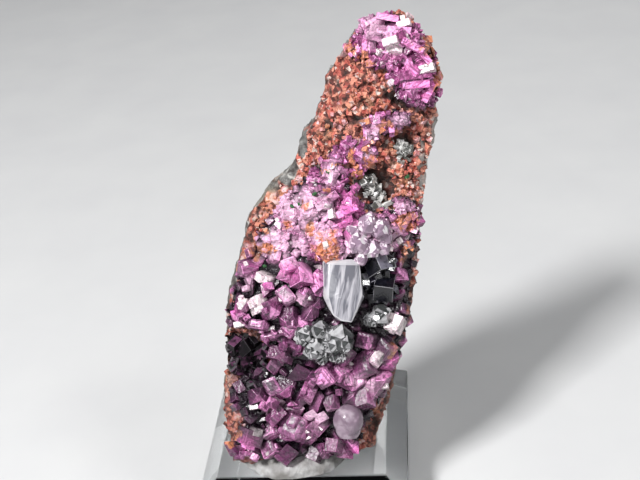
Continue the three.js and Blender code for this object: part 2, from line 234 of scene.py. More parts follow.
def inside_by(across, height, edge):
    """Distance of a place from an area's edge, positive inside and negative outside."""
    place = Vector((across, height))
    inside = False
    nearest = math.inf
    for (x0, z0), (x1, z1) in zip([edge[-1]] + edge[:-1], edge):
        if (z1 > height) != (z0 > height) and across < (x0 - x1) * (height - z1) / (z0 - z1) + x1:
            inside = not inside
        start, run = Vector((x0, z0)), Vector((x1 - x0, z1 - z0))
        share = clamped((place - start).dot(run) / run.length_squared)
        nearest = min(nearest, (start + run * share - place).length)
    return nearest if inside else -nearest


FOOT_LEFT = (-2.4, -1.0)
FOOT_RIGHT = (6.9, 2.6)


def foot_line(across):
    """Height of the crust's lower edge: level on the left and rising to the right."""
    share = (across - FOOT_LEFT[0]) / (FOOT_RIGHT[0] - FOOT_LEFT[0])
    return FOOT_LEFT[1] + max(0, share) * (FOOT_RIGHT[1] - FOOT_LEFT[1])


def reach(across, height, spot):
    """How much of a spot is felt at a place: 1 in its middle, 0 far away."""
    x, z, half_width, half_height = spot
    far = ((across - x) / half_width) ** 2 + ((height - z) / half_height) ** 2
    return math.exp(-0.9 * far * far)


def felt(across, height, spots):
    """How much of the nearest spot is felt at a place."""
    return max(reach(across, height, spot) for spot in spots)


# %% [markdown]
# Where the crusts lie
#
# These are the same edges and the same listed crystals as in the solids: across, height and
# edge length in millimetres. More of the same size are thrown between them by the dice. The
# glints, the long bars on the tip and a few late crystals are in this scene alone. Each late one
# fills a gap that the dice left.

# %% Areas and larger crystals
MAIN_EDGE = [
    (-9.0, -1.6), (-2.0, -3.2), (4.0, -0.8), (7.2, 2.6), (7.6, 8.0), (9.2, 12.0), (9.9, 17.0),
    (9.8, 24.0), (9.0, 30.0), (8.6, 36.0), (7.9, 38.6), (5.0, 39.4), (3.4, 38.2), (-0.4, 39.4),
    (-3.0, 43.0), (-6.0, 42.6), (-8.3, 39.4), (-10.2, 36.0), (-11.8, 32.0), (-12.8, 27.8),
    (-13.8, 23.4), (-14.2, 19.6), (-12.6, 17.6), (-8.8, 17.6), (-6.6, 15.0), (-7.0, 11.6),
    (-10.6, 10.6), (-11.8, 8.8), (-10.6, 6.6), (-9.0, 5.0), (-9.6, 1.6),
]
TIP_EDGE = [
    (-4.8, 59.6), (-3.6, 61.8), (0.6, 62.8), (4.0, 60.4), (6.0, 57.0), (6.8, 53.6), (4.2, 51.8),
    (1.2, 53.2), (-0.7, 56.0), (-3.9, 56.4), (-5.8, 56.8),
]
MAIN_CRYSTALS = [
    (-10, 0, 2.1), (-8.5, 0, 2.4), (-6.5, 0.5, 2.3), (-5, 1.5, 2.3), (-2.4, 0.8, 2.7),
    (1.5, 1.5, 2), (-0.5, 2.5, 2.3), (2.5, 2.5, 2.3), (4.5, 4.2, 4.2),
    (-8, 3, 3.0), (-5.2, 4, 2.3), (-3, 4.3, 2), (-2, 5.4, 3.6), (0.7, 5.6, 3.4), (-5, 6.5, 3),
    (-3.2, 8, 2.8), (0.3, 8.7, 3.7), (2.1, 10, 2), (-2.2, 10, 2.2),
    (-8, 9.2, 2.2), (-6, 8.2, 3), (-6.2, 10.6, 2.5), (-4.6, 11, 2.8), (-2.5, 13, 3.5),
    (-1.3, 11, 2.8), (0.6, 14.2, 3), (2.6, 14.8, 2.5), (2.5, 17, 2.5), (5.2, 16.4, 3),
    (3.6, 12.8, 3.4), (5.2, 13.6, 2.2), (7.7, 14, 3.4), (4.5, 11.3, 2.2), (6.5, 11.5, 2.8),
    (8.4, 17.7, 2.5), (7.6, 19.4, 2.5), (6.5, 18.2, 2.6), (5, 20, 2.6),
    (-12.5, 26.5, 2.4), (-11.5, 24.5, 2.3), (-10, 26.2, 2.1), (-5.7, 27.7, 2.8),
    (-7.3, 27, 2.1), (-9, 25, 2.3), (-7, 24.5, 2.3), (-4.4, 25, 2.4), (-12.5, 22, 2.4),
    (-10.3, 22.4, 2.4), (-8.5, 22.4, 2.9), (-6, 21.5, 2.7), (-12, 19.8, 2.7), (-7.6, 18.4, 2.7),
    (-5.3, 20, 2.3), (-6, 15.6, 2.7), (-5, 17.5, 2.9),
    (-9.6, 33.5, 1.8), (-6.2, 32.3, 2.1), (-8.2, 35.7, 2.4), (-6.4, 37.2, 2.4),
    (-4.2, 38.4, 2.6), (-1.6, 38, 3), (-2.5, 35.4, 2.4), (-9, 30.7, 2.1), (-7.4, 28.8, 2),
    (5.9, 36.2, 2.3), (7.4, 34.0, 1.8), (-4.6, 41.2, 2),
]
TIP_CRYSTALS = [
    (-3.8, 59.8, 1.8), (-2.4, 61, 2.6), (-0.8, 59.8, 2.8), (0.4, 61.8, 1.9), (1.3, 60.6, 1.9),
    (2.4, 60, 1.9), (4, 57.4, 1.8), (2.8, 56.2, 3), (0.9, 58, 2.4), (3, 59, 1.8),
    (5.2, 55.2, 1.9), (2.9, 54.2, 2.3), (4.2, 53.6, 1.8), (-4.4, 58, 1.8), (-2.9, 58.4, 1.8),
    (-1, 57.6, 1.9), (5.6, 53.2, 1.6), (1.2, 55.2, 1.8),
]
UPPER_PATCH = [(-0.6, 49.0, 1.9), (0.6, 49.6, 1.6), (-0.6, 47.4, 1.7), (2.0, 49.4, 1.2)]
CENTRE_PATCH = [(-1.7, 44.7, 1.7), (-0.4, 44.2, 1.4), (-0.6, 45.4, 1.1), (-1.2, 42.9, 1.1)]
LEFT_PATCH = [(-3.3, 45.6, 1.2), (-4.2, 44.6, 1.2), (-4.9, 42.8, 1.3), (-4.6, 41.4, 1.2)]
GLINTS = [
    (0.4, 61.8, 1.5), (-0.9, 59.6, 1.7), (4.2, 57.2, 1.8), (-7.0, 24.4, 1.6), (-4.5, 24.8, 1.6),
    (-8.2, 7.7, 1.1), (-6.7, 5.6, 0.9), (-12.2, 18.9, 1.4), (-8.0, 19.4, 0.9), (8.4, 13.6, 1.6),
]
TIP_BARS = [
    (2.9, 56.2, 1.9, 18), (3.3, 55.1, 1.6, 16), (-2.2, 59.7, 1.6, 2), (-1.6, 62.0, 1.3, 5),
    (-0.1, 61.0, 1.4, 12), (-3.9, 60.2, 1.3, 128), (-3.0, 58.9, 1.2, 107), (-3.7, 58.0, 1.1, 110),
    (1.8, 59.6, 1.4, -15), (3.3, 58.8, 1.3, -40), (5.2, 54.3, 1.2, 75),
]
LATE_CRYSTALS = [
    (-3.4, 22.6, 2.0), (-2.7, 24.0, 1.7), (-3.9, 21.2, 1.8), (-3.0, 26.0, 1.6), (-6.3, 13.6, 2.0),
    (-1.9, 31.3, 1.9), (-0.4, 32.3, 1.7), (7.2, 29.6, 2.0), (7.4, 27.0, 1.9), (6.9, 31.4, 1.7),
]


def with_fill(placed, edge, count, sizes, dice, crowding=0.42, margin=0.5):
    """The placed crystals, with more thrown into the area clear of those already there."""
    everything = list(placed)
    left, right = min(x for x, _ in edge), max(x for x, _ in edge)
    low, high = min(z for _, z in edge), max(z for _, z in edge)
    for _ in range(count):
        across = left + (right - left) * dice()
        height = low + (high - low) * dice()
        size = sizes[0] + (sizes[1] - sizes[0]) * dice()
        clear = all(
            math.hypot(x - across, z - height) > crowding * (size + other)
            for x, z, other in everything
        )
        if clear and inside_by(across, height, edge) > margin:
            everything.append((across, height, size))
    return everything


main_list = with_fill(MAIN_CRYSTALS, MAIN_EDGE, 90, (2.1, 2.6), make_dice(11))
tip_list = with_fill(TIP_CRYSTALS, TIP_EDGE, 30, (1.4, 1.7), make_dice(12))
print("crystals shared with the solids:", len(main_list), "and", len(tip_list))

# %% [markdown]
# Colour zones
#
# The real crust isn't one pink. It is pale and milky in the upper middle, hot pink in a few
# spots on the rim, rusty where the brown rock shows through, and nearly black round the smoky
# crystals. The dark zone also paints shade into the hollows and gaps, and three pale spots paint a
# highlight on glints. Each zone is a short list of spots: across, height, half width and half
# height. They become attributes on the meshes, which the materials read. Two more lists say where
# the crust is fine and where the rock has lost its skin.

# %% Zones
# Most pale spots are the crust's own milky colour; three of them, on the glints near heights 13.8, 24.5 and
# 59, are a painted highlight.
PALE = [
    (-7.0, 36.6, 4.6, 2.8), (-9.6, 30.6, 2.7, 3.0), (-4.6, 42.0, 1.0, 1.8), (-0.3, 45.0, 0.9, 0.9),
    (-4.6, 34.0, 2.6, 1.2), (2.8, 34.9, 3.4, 2.6), (-3.2, 60.6, 1.9, 1.2), (-0.6, 59.0, 0.9, 0.8),
    (8.9, 13.8, 2.2, 1.2), (-0.6, 32.2, 2.2, 1.2), (-11.7, 24.4, 1.2, 1.5), (-5.7, 24.5, 2.4, 0.7),
    (0.6, 8.4, 2.2, 1.2),
    (-0.4, 48.1, 1.0, 1.2), (-6.9, 31.4, 1.6, 1.4), (5.5, 39.3, 1.4, 0.8), (2.6, 50.4, 1.3, 0.9),
    (5.4, 14.4, 2.4, 0.6),
]
HOT = [
    (-1.3, 38.4, 1.7, 1.9), (-7.4, 28.4, 2.1, 0.8), (9.3, 17.5, 1.1, 2.9), (5.8, 54.8, 0.9, 1.1),
    (3.0, 56.1, 1.7, 0.7), (-14.0, 20.5, 1.0, 2.0), (-10.5, 26.6, 0.9, 1.9),
    (8.0, 3.8, 1.5, 1.4), (10.3, 10.9, 1.0, 1.7), (-1.1, 42.1, 1.3, 1.0),
    (-8.0, 2.0, 1.1, 1.3), (-1.5, 36.2, 1.4, 1.1),
]
RUSTY = [
    (-3.3, 32.6, 2.0, 2.5), (-4.7, 39.8, 0.9, 0.6), (-6.9, 37.3, 0.7, 0.8), (-8.7, 34.1, 0.9, 0.9),
    (-5.8, 34.3, 0.7, 0.9), (1.7, 38.3, 1.3, 0.6), (6.5, 37.2, 1.9, 1.4),
    (7.9, 32.8, 1.4, 2.4), (9.7, 25.6, 0.7, 2.0), (9.9, 14.6, 0.5, 1.9),
    (1.4, 49.3, 0.6, 0.6), (8.6, 19.6, 0.8, 1.6), (-11.6, 32.3, 0.9, 0.9),
    (-11.9, 29.1, 1.0, 1.2), (-1.9, 30.9, 1.2, 1.2), (-10.4, 30.0, 1.0, 0.9), (-0.5, 63.0, 0.7, 0.4),
    (4.3, 60.0, 1.0, 2.2), (6.3, 56.8, 0.8, 2.8), (1.8, 62.6, 1.8, 0.6), (-5.4, 57.6, 0.9, 1.0),
    (8.7, 7.1, 1.5, 3.4), (-10.4, 2.0, 1.0, 3.4),
    (-3.4, 56.6, 1.2, 0.7),
]
# The dark zone: the dark colour round the smoky crystals, and painted shade in the hollows and gaps.
DARK = [
    (-10.1, 12.5, 2.9, 2.8), (-12.1, 14.3, 1.6, 1.3), (-2.9, 49.1, 1.2, 0.6), (2.6, 52.4, 1.8, 0.6),
    (0.8, 52.9, 1.0, 0.5), (3.9, 46.9, 1.6, 1.5), (1.6, 41.0, 2.5, 2.3), (3.8, 30.2, 2.3, 2.0),
    (5.5, 27.3, 1.7, 1.8), (5.2, 22.6, 1.7, 2.0), (3.1, 18.4, 1.7, 1.6), (7.4, 20.0, 1.3, 2.7),
    (-7.6, 5.0, 1.4, 1.3), (-6.6, 3.3, 1.3, 1.0), (-5.6, 1.6, 1.2, 0.9), (0.1, 2.0, 4.0, 0.9),
    (-6.0, 14.5, 1.4, 1.1), (4.0, 10.8, 1.4, 0.9), (9.6, 16.4, 0.6, 1.2), (-5.0, 17.0, 0.8, 0.8),
    (-3.7, 38.2, 0.4, 1.4), (-7.7, 11.0, 1.7, 1.3), (-0.2, 12.4, 1.1, 0.8), (6.1, 16.4, 1.3, 0.9),
    (9.3, 23.6, 0.7, 1.1), (-10.4, 19.0, 1.2, 0.8), (1.5, 0.6, 1.8, 0.8),
    (9.0, 6.7, 0.8, 1.6),
]
FINE = [
    (-5.4, 36.4, 7.4, 6.4), (3.0, 36.2, 5.4, 5.0), (0.4, 57.6, 7.5, 7.0), (-1.5, 46.5, 6.0, 5.0),
    (-9.8, 30.8, 3.2, 3.2),
]
BARE = [
    (-9.8, 40.4, 1.2, 2.2), (-8.6, 43.8, 0.8, 1.6), (-11.4, 37.6, 1.1, 1.4), (-14.6, 23.6, 0.8, 2.6),
    (7.8, 46.1, 0.45, 2.6), (8.4, 42.1, 0.45, 2.4), (-14.4, 31.5, 0.4, 1.2),
]
# Painted shade on the lower part of the stone: it starts at this height and is full a fade lower.
SHADE_BELOW = 33
SHADE_FADE = 9


def shade_lower_down(height):
    """1 low on the stone, where the pink and the rock get painted shade, and 0 above the middle."""
    return clamped((SHADE_BELOW - height) / SHADE_FADE)


print("spots:", [len(spots) for spots in (PALE, HOT, RUSTY, DARK, FINE, BARE)])


# %% [markdown]
# One calcite rhombohedron
#
# Cobaltoan calcite grows as rhombohedra: a cube stood on its corner and pressed flat along that
# diagonal. bmesh gives the cube, a rotation stands it up, and a bevel breaks its edges, which
# catch the light as pale lines on the real thing. Four kinds in four proportions are enough,
# because every copy is turned differently: a plain one, one with growth steps on its faces, one
# with two corners cut away, and a wedge. A long bar and a flat table go with them. The narrow bevel
# faces are marked, so that the material can lighten them.

# %% Crystal templates
DIAGONAL_UP = Vector((1, 1, 1)).rotation_difference(Vector((0, 0, 1))).to_matrix().to_4x4()
BEVEL_SHARE = 0.022
BEVEL_FACE_BELOW = 0.05
KINDS = {
    "plain": [],
    "stepped": [],
    "cut": [((0.31, 0.31, -0.31), (1.0, 0.8, -0.6)), ((0.28, 0.3, 0.34), (0.7, 1.0, 0.9))],
    "wedge": [((0.1, 0.1, 0.1), (1.0, -0.25, 0.75)), ((0.2, 0.25, -0.1), (-0.2, 1.0, 0.5))],
}
STRETCHES = ((1, 1, 1), (1.14, 0.94, 0.9), (0.8, 1.1, 1.06), (1.2, 1.06, 0.66))
BAR_STRETCH = (2.1, 0.62, 0.5)
TABLE_STRETCH = (1.1, 0.55, 0.6)


def add_steps(crystal):
    """Growth steps: each face carries two thin terraces."""
    for step in (0.13, 0.12):
        faces = sorted(crystal.faces, key=lambda face: -face.calc_area())[:6]
        bmesh.ops.inset_individual(crystal, faces=faces, thickness=step, depth=0.03)


def make_template(kind, stretch):
    """A crystal with edges about one unit long, its long diagonal upright unless it is a bar."""
    crystal = bmesh.new()
    rim = crystal.faces.layers.float.new("rim")
    bmesh.ops.create_cube(crystal, size=1.0)
    if kind == "stepped":
        add_steps(crystal)
    for place, way in KINDS.get(kind, []):
        cut_by(crystal, place, way)
    bmesh.ops.scale(crystal, vec=stretch, verts=crystal.verts)
    bevel_edges(crystal, crystal.edges[:], BEVEL_SHARE)
    for face in crystal.faces:
        face[rim] = float(face.calc_area() < BEVEL_FACE_BELOW)
    bmesh.ops.recalc_face_normals(crystal, faces=crystal.faces)
    if kind != "bar":
        bmesh.ops.transform(crystal, matrix=DIAGONAL_UP, verts=crystal.verts)
    return finished(crystal, "crystal_" + kind)


TEMPLATES = [make_template(kind, stretch) for kind in KINDS for stretch in STRETCHES]
BAR = make_template("bar", BAR_STRETCH)
TABLE = make_template("bar", TABLE_STRETCH)
print("template faces:", [len(template.polygons) for template in TEMPLATES])

# %% [markdown]
# Placing crystals
#
# A matrix stands a template on the rock: it leans by a tilt in some direction and spins about its
# own axis. Large crystals get companions, and where the crust is fine a knot of small ones takes
# the room of one large one. Nothing pink stands where the clear and dark crystals have their room.

# %% Placing a crystal
LEAN_SHARE = 0.48
SIZE_SHARE = 0.88
BAR_ABOVE = 0.45
LARGE_ABOVE = 2.2
KNOT_SIZE = 7
SMALL_BELOW = 1.2
CLEAR_ROOM = [
    (0.1, 26.9, 2.5, 3.9), (-0.6, 19.4, 2.9, 2.2), (5.0, 7.7, 1.6, 1.9), (5.2, 24.2, 1.3, 1.2),
    (1.2, 31.4, 1.9, 1.5), (-3.3, 32.6, 1.7, 2.1), (4.6, 29.6, 2.2, 2.4),
]


def aim_from(tilt, direction):
    """The way a crystal points: out of the slab, leaning by a tilt in a direction."""
    return Vector((
        math.sin(tilt) * math.cos(direction), -math.cos(tilt), math.sin(tilt) * math.sin(direction),
    ))


def random_aim(dice, most, least=0):
    """A way out of the slab that leans by a number of degrees from the least on."""
    tilt = math.radians(least + most * dice())
    return aim_from(tilt, 2 * math.pi * dice())


def beside(across, height, angle, far):
    """A place at a distance from another one, in the direction of an angle."""
    return across + far * math.cos(angle), height + far * math.sin(angle)


def crystal_matrix(place, edge, flatness, aim, spin):
    """Stands a template at a place: leaning along its aim, spun about itself and scaled."""
    lean = Vector((0, 0, 1)).rotation_difference(aim).to_matrix().to_4x4()
    return (
        Matrix.Translation(place) @ lean @ Matrix.Rotation(spin, 4, "Z")
        @ Matrix.Diagonal((edge, edge, edge * flatness, 1))
    )


def new_druse():
    """An empty mesh for crystals, with the attributes that the materials read."""
    druse = bmesh.new()
    for name in ("pick", "lift", "pale", "hot", "rusty", "dark", "deep"):
        druse.verts.layers.float.new(name)
    for name in ("rim", "tone"):
        druse.faces.layers.float.new(name)
    return druse


def add_crystal(druse, matrix, pick, template):
    """Adds a copy of a template, and gives its corners the crystal's own number."""
    copy = template.copy()
    copy.transform(matrix)
    layer = druse.verts.layers.float["pick"]
    for corner in pour(copy, druse):
        corner[layer] = pick


def pick_template(extra):
    """One of the sixteen templates."""
    return TEMPLATES[int(extra() * len(TEMPLATES))]


print("a crystal's matrix scales by", [round(v, 2) for v in crystal_matrix(
    Vector((0, 0, 0)), 2, 0.8, Vector((0, -1, 0)), 0).to_scale()])

# %% [markdown]
# Groups of crystals
#
# Each listed place gets its crystal from the dice that the solids use too. What only this scene
# adds, such as the companions and the knots, draws from dice of its own, so that the shared row of
# numbers stays in step with the solids.

# %% Crystals with companions or as knots


def add_standing(druse, listed, lift, dice, extra):
    """Crystals on the rock. The first five draws of each match the solids' own."""
    for across, height, edge in listed:
        tilt = LEAN_SHARE * math.radians(12 + 46 * dice())
        direction = 2 * math.pi * dice()
        spin = 2 * math.pi * dice()
        flatness = 0.74 + 0.2 * dice()
        depth = rock_depth(across, height) - lift - 0.12 * edge * dice()
        aim = aim_from(tilt, direction)
        place = Vector((across, depth, height))
        if height < foot_line(across) + 0.35 * edge or felt(across, height, CLEAR_ROOM) > 0.5:
            continue
        if edge > SMALL_BELOW and felt(across, height, FINE) > 0.5:
            add_cluster(druse, place, edge, extra)
            continue
        matrix = crystal_matrix(place, edge * SIZE_SHARE, flatness, aim, spin)
        pick = extra()
        add_crystal(druse, matrix, pick, pick_template(extra))
        if edge > LARGE_ABOVE:
            add_companions(druse, matrix, pick, extra)


def add_cluster(druse, place, edge, extra):
    """A knot of small crystals and bars in the room of one large crystal."""
    shared = extra()
    for _ in range(KNOT_SIZE):
        angle, far = 2 * math.pi * extra(), 0.42 * edge * extra()
        across, height = beside(place.x, place.z, angle, far)
        bulge = 0.32 * edge * (1 - far / edge)
        depth = rock_depth(across, height) - 0.55 - bulge
        size = edge * (0.3 + 0.3 * extra())
        aim = random_aim(extra, 50)
        matrix = crystal_matrix(Vector((across, depth, height)), size, 0.85, aim, 2 * math.pi * extra())
        pick = clamped(shared + 0.6 * (extra() - 0.5))
        add_crystal(druse, matrix, pick, BAR if extra() > BAR_ABOVE else pick_template(extra))


def add_companions(druse, matrix, pick, extra):
    """Smaller crystals grown on a large one in the same direction, as calcite does."""
    for _ in range(2 + int(extra() * 2.4)):
        share = 0.25 + 0.28 * extra()
        way = Vector((extra() - 0.5, extra() - 0.5, extra() - 0.2)).normalized() * 0.5
        shrunk = matrix @ Matrix.Translation(way) @ Matrix.Scale(share, 4)
        add_crystal(druse, shrunk, clamped(pick + 0.7 * (extra() - 0.5)), pick_template(extra))


# %% [markdown]
# Sugar, bars and glints
#
# Three small extras: domes of sugar, such as the orange flower, long bars that lie on the tip, and
# flat crystals that are turned so that the key light flashes from them into the camera. These are
# also painted near white, as a painted highlight.

# %% Sugar, bars and glints
WHITE_WITHIN = 0.24
BAR_OUT = 1.5
KEY_PLACE = Vector((-0.22, -0.26, 0.42))


def add_sugar(druse, spots, dice):
    """Domes of tiny crystals: across, height, radius, tallness, how many and how far they rise.

    The middle of a high dome is marked to be white.
    """
    for across, height, radius, tallness, count, rise in spots:
        for _ in range(count):
            angle, far = 2 * math.pi * dice(), math.sqrt(dice())
            x = across + radius * far * math.cos(angle)
            z = height + radius * tallness * far * math.sin(angle)
            y = rock_depth(x, z) - 0.25 - rise * (1 - 0.6 * far * far) - 0.15 * dice()
            aim = random_aim(dice, 60)
            matrix = crystal_matrix(Vector((x, y, z)), 0.42 + 0.4 * dice(), 0.85, aim, 6 * dice())
            pick = 1.0 if far < WHITE_WITHIN and rise > 1 else 0.85 * dice()
            add_crystal(druse, matrix, pick, BAR if dice() > 0.6 else pick_template(dice))


def add_bars(druse, bars, extra):
    """Long crystals that lie flat on the crust: across, height, size and turn in degrees."""
    for across, height, size, turn in bars:
        place = Vector((across, rock_depth(across, height) - BAR_OUT, height))
        aim = Vector((0.1 * extra(), -1, 0.2 + 0.2 * extra())).normalized()
        matrix = crystal_matrix(place, size, 1.2, aim, math.radians(turn))
        add_crystal(druse, matrix, 0.55 + 0.4 * extra(), BAR)


def add_glint(druse, across, height, edge, extra, out=0.5):
    """A tabular crystal whose broad face throws the key light at the camera, painted near white as a
    highlight.
    """
    place = Vector((across, rock_depth(across, height) - 0.75 * edge - out, height))
    world_place = STONE @ place
    to_light = (KEY_PLACE - world_place).normalized()
    to_camera = (CAMERA_PLACE - world_place).normalized()
    aim = (TO_STONE.to_3x3() @ (to_light + to_camera)).normalized()
    matrix = crystal_matrix(place, edge, 1.0, aim, 2 * math.pi * extra())
    add_crystal(druse, matrix, 1.0, TABLE)

# %% [markdown]
# Marking a finished druse
#
# How far a corner stands out from the rock decides how bright it is: the material paints shade,
# nearly black with purple in it, into the deep gaps between the crystals. The zones are stored
# with it.

# %% Marks on the corners
# Corners that stand out by less than a full lift get painted shade, nearly black deep in the gaps. Past the
# rock's rim they keep at least the rim share, and so stay lighter.
FULL_LIFT = 3.2
RIM_LIFT = 0.55
# How fast the painted light of a face changes with its direction, and with its place.
FACET_LIGHT_SIZE = 9.0
FACET_LIGHT_DRIFT = 0.02
ZONES = {"pale": PALE, "hot": HOT, "rusty": RUSTY, "dark": DARK}


def mark_corners(druse):
    """Stores how far each corner stands out and how low it is, for painted shade, and its zones."""
    layers = druse.verts.layers.float
    lift, deep = layers["lift"], layers["deep"]
    zone_layers = [(layers[name], spots) for name, spots in ZONES.items()]
    for corner in druse.verts:
        across, depth, height = corner.co
        full = FULL_LIFT * (1 - 0.52 * felt(across, height, FINE))
        rock = rock_depth(across, height)
        beyond_rim = clamped((rock - 0.7) / 0.8)
        corner[lift] = min(1, max(0, (rock - depth) / full, RIM_LIFT * beyond_rim))
        corner[deep] = shade_lower_down(height)
        for layer, spots in zone_layers:
            corner[layer] = felt(across, height, spots)


def set_facet_light(druse):
    """Each face gets its own painted light by its direction: light and shade on pink, reflections on clear
    ones.
    """
    tone = druse.faces.layers.float.get("tone") or druse.faces.layers.float.new("tone")
    druse.normal_update()
    for face in druse.faces:
        face[tone] = noise.cell(face.normal * FACET_LIGHT_SIZE + face.verts[0].co * FACET_LIGHT_DRIFT)


print("a place in the left hollow feels the dark zone by", round(felt(-10, 13, DARK), 2))

# %% [markdown]
# Keeping a piece
#
# Every piece ends in the same way: it becomes an object with one material, rides on the body, and
# the solid that it stands for is put out of sight.

# %% Turning a mesh into a piece


def keep_world_piece(source, name, material, node, smooth_below=None):
    """Makes the object from a bmesh and puts the solid that it stands for out of sight."""
    mesh = finished(source, name)
    if smooth_below is not None:
        mesh.shade_smooth()
        mesh.set_sharp_from_angle(angle=math.radians(smooth_below))
    mesh.materials.append(material)
    piece = add_object(name, mesh)
    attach(piece, "root")
    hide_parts(node)
    print(name, "has", len(mesh.polygons), "faces")
    return piece


def keep_piece(source, name, material, node, smooth_below=None):
    """Carries a mesh from the stone's frame to its place on the block, and keeps it."""
    bmesh.ops.transform(source, matrix=STONE, verts=source.verts)
    return keep_world_piece(source, name, material, node, smooth_below)

# %% [markdown]
# Node helpers and shared effects
#
# A material is a small tree of nodes. The class below places nodes, fills their inputs and links
# them, and gives back the socket that the next step needs. Layers of colour are laid over each
# other like glazes, each by its own factor. Two effects are wanted more than once, so each is a
# node group: a mineral mottle, which mixes three colours in angular cells, and a fine relief.

# %% Node helpers
class Nodes:
    """Short ways to add nodes to one tree."""

    def __init__(self, tree):
        self.tree = tree

    def fill(self, socket, value):
        """Links a socket or sets it. A colour of three numbers gets its alpha here."""
        if isinstance(value, bpy.types.NodeSocket):
            self.tree.links.new(value, socket)
        elif socket.type == "RGBA":
            socket.default_value = (*value, 1)
        else:
            socket.default_value = value

    def add(self, kind, inputs=None, **settings):
        """A node with its settings, and its inputs filled with values or links."""
        made = self.tree.nodes.new("ShaderNode" + kind)
        for key, value in settings.items():
            setattr(made, key, value)
        for key, value in (inputs or {}).items():
            self.fill(made.inputs[key], value)
        return made

    def noise(self, where, scale, detail, **more):
        inputs = {"Vector": where, "Scale": scale, "Detail": detail, **more}
        return self.add("TexNoise", inputs).outputs["Fac"]

    def edges(self, where, scale):
        """Distance to the nearest crack of a net of cells."""
        cells = self.add("TexVoronoi", {"Vector": where, "Scale": scale}, feature="DISTANCE_TO_EDGE")
        return cells.outputs["Distance"]

    def drawn_out(self, where, scale, kind="POINT", turn=(0.0, 0.0, 0.0)):
        inputs = {"Vector": where, "Rotation": turn, "Scale": scale}
        return self.add("Mapping", inputs, vector_type=kind).outputs["Vector"]

    def calculate(self, operation, first, second):
        return self.add("Math", {0: first, 1: second}, operation=operation).outputs[0]

    def plus(self, first, second):
        return self.calculate("ADD", first, second)

    def times(self, first, second):
        return self.calculate("MULTIPLY", first, second)

    def stretch(self, value, low, high, new_low=0.0, new_high=1.0):
        """Carries the range from low to high over to a new range, and holds it there."""
        made = self.add("MapRange", {
            "Value": value, "From Min": low, "From Max": high, "To Min": new_low, "To Max": new_high,
        })
        return made.outputs["Result"]

    def mark(self, name, share=None):
        """An attribute of the mesh, or a share of it."""
        read = self.add("Attribute", attribute_name=name).outputs["Fac"]
        return read if share is None else self.times(read, share)

    def ramp(self, factor, *stops):
        """A colour ramp from places and colours."""
        made = self.add("ValToRGB", {"Fac": factor})
        elements = made.color_ramp.elements
        while len(elements) < len(stops):
            elements.new(0.5)
        for element, (position, colour) in zip(elements, stops):
            element.position = position
            element.color = (*colour, 1)
        return made.outputs["Color"]

    def mix(self, factor, first, second, blend="MIX"):
        inputs = {0: factor, 6: first, 7: second}
        return self.add("Mix", inputs, data_type="RGBA", blend_type=blend).outputs[2]

    def layers(self, colour, *layers):
        """Lays colours over a first one. Each layer is a factor and a colour."""
        for factor, over in layers:
            colour = self.mix(factor, colour, over)
        return colour

    def scaled(self, colour, value):
        return self.mix(1.0, colour, value, "MULTIPLY")

# %% [markdown]
# Two shared effects
#
# The mottle bends its coordinates a little before it asks for the cells, so that their edges aren't
# straight. The relief adds pits between cells to fine waves.

# %% Mineral mottle and fine relief groups
MOTTLE_WARP = (0.0006, 0.0006, 0.0006)


def make_group(name, inputs, outputs):
    """An empty node group with named sockets, its helper, its inputs and its output node."""
    group = bpy.data.node_groups.new(name, "ShaderNodeTree")
    for way, sockets in (("INPUT", inputs), ("OUTPUT", outputs)):
        for socket_name, kind in sockets.items():
            group.interface.new_socket(socket_name, in_out=way, socket_type="NodeSocket" + kind)
    given = group.nodes.new("NodeGroupInput").outputs
    return group, Nodes(group), given, group.nodes.new("NodeGroupOutput").inputs


def make_mottle():
    group, n, given, out = make_group(
        "mineral_mottle",
        {"Vector": "Vector", "Scale": "Float", "First": "Color", "Second": "Color", "Third": "Color"},
        {"Color": "Color", "Cell": "Float"},
    )
    where, scale = given["Vector"], given["Scale"]
    bent = n.add("TexNoise", {"Vector": where, "Scale": scale, "Detail": 3.0, "Roughness": 0.6})
    warp = n.add("VectorMath", {0: bent.outputs["Color"], 1: MOTTLE_WARP}, operation="MULTIPLY")
    moved = n.add("VectorMath", {0: where, 1: warp.outputs[0]}, operation="ADD")
    cells = n.add("TexVoronoi", {"Vector": moved.outputs[0], "Scale": scale, "Randomness": 1.0})
    chosen = n.add("SeparateColor", {"Color": cells.outputs["Color"]}).outputs
    colour = n.layers(
        given["First"],
        (n.stretch(chosen[0], 0.42, 0.58), given["Second"]),
        (n.stretch(chosen[1], 0.6, 0.75), given["Third"]),
    )
    n.fill(out["Color"], colour)
    n.fill(out["Cell"], chosen[2])
    return group


def make_relief():
    group, n, given, out = make_group(
        "fine_relief", {"Vector": "Vector", "Scale": "Float", "Pits": "Float"}, {"Height": "Float"},
    )
    waves = n.noise(given["Vector"], given["Scale"], 6.0, Roughness=0.65)
    cells = n.add("TexVoronoi", {"Vector": given["Vector"], "Scale": n.times(given["Scale"], 1.7)})
    n.fill(out["Height"], n.plus(waves, n.times(cells.outputs["Distance"], given["Pits"])))
    return group


MOTTLE = make_mottle()
RELIEF = make_relief()
print("shared effects:", MOTTLE.name, RELIEF.name)

# %% [markdown]
# Starting a material
#
# Every material starts the same way: a Principled shader, the object's own coordinates, and a
# bump made from the fine relief group. Steady values go straight on the shader's sockets.

# %% Material starter
def start_material(name, **steady):
    """A material with its Principled shader's steady values set, its helper and coordinates."""
    material = bpy.data.materials.new(name)
    material.use_nodes = True
    shader = material.node_tree.nodes["Principled BSDF"].inputs
    n = Nodes(material.node_tree)
    for key, value in steady.items():
        n.fill(shader[key.replace("_", " ")], value)
    return material, n, shader, n.add("TexCoord").outputs["Object"]


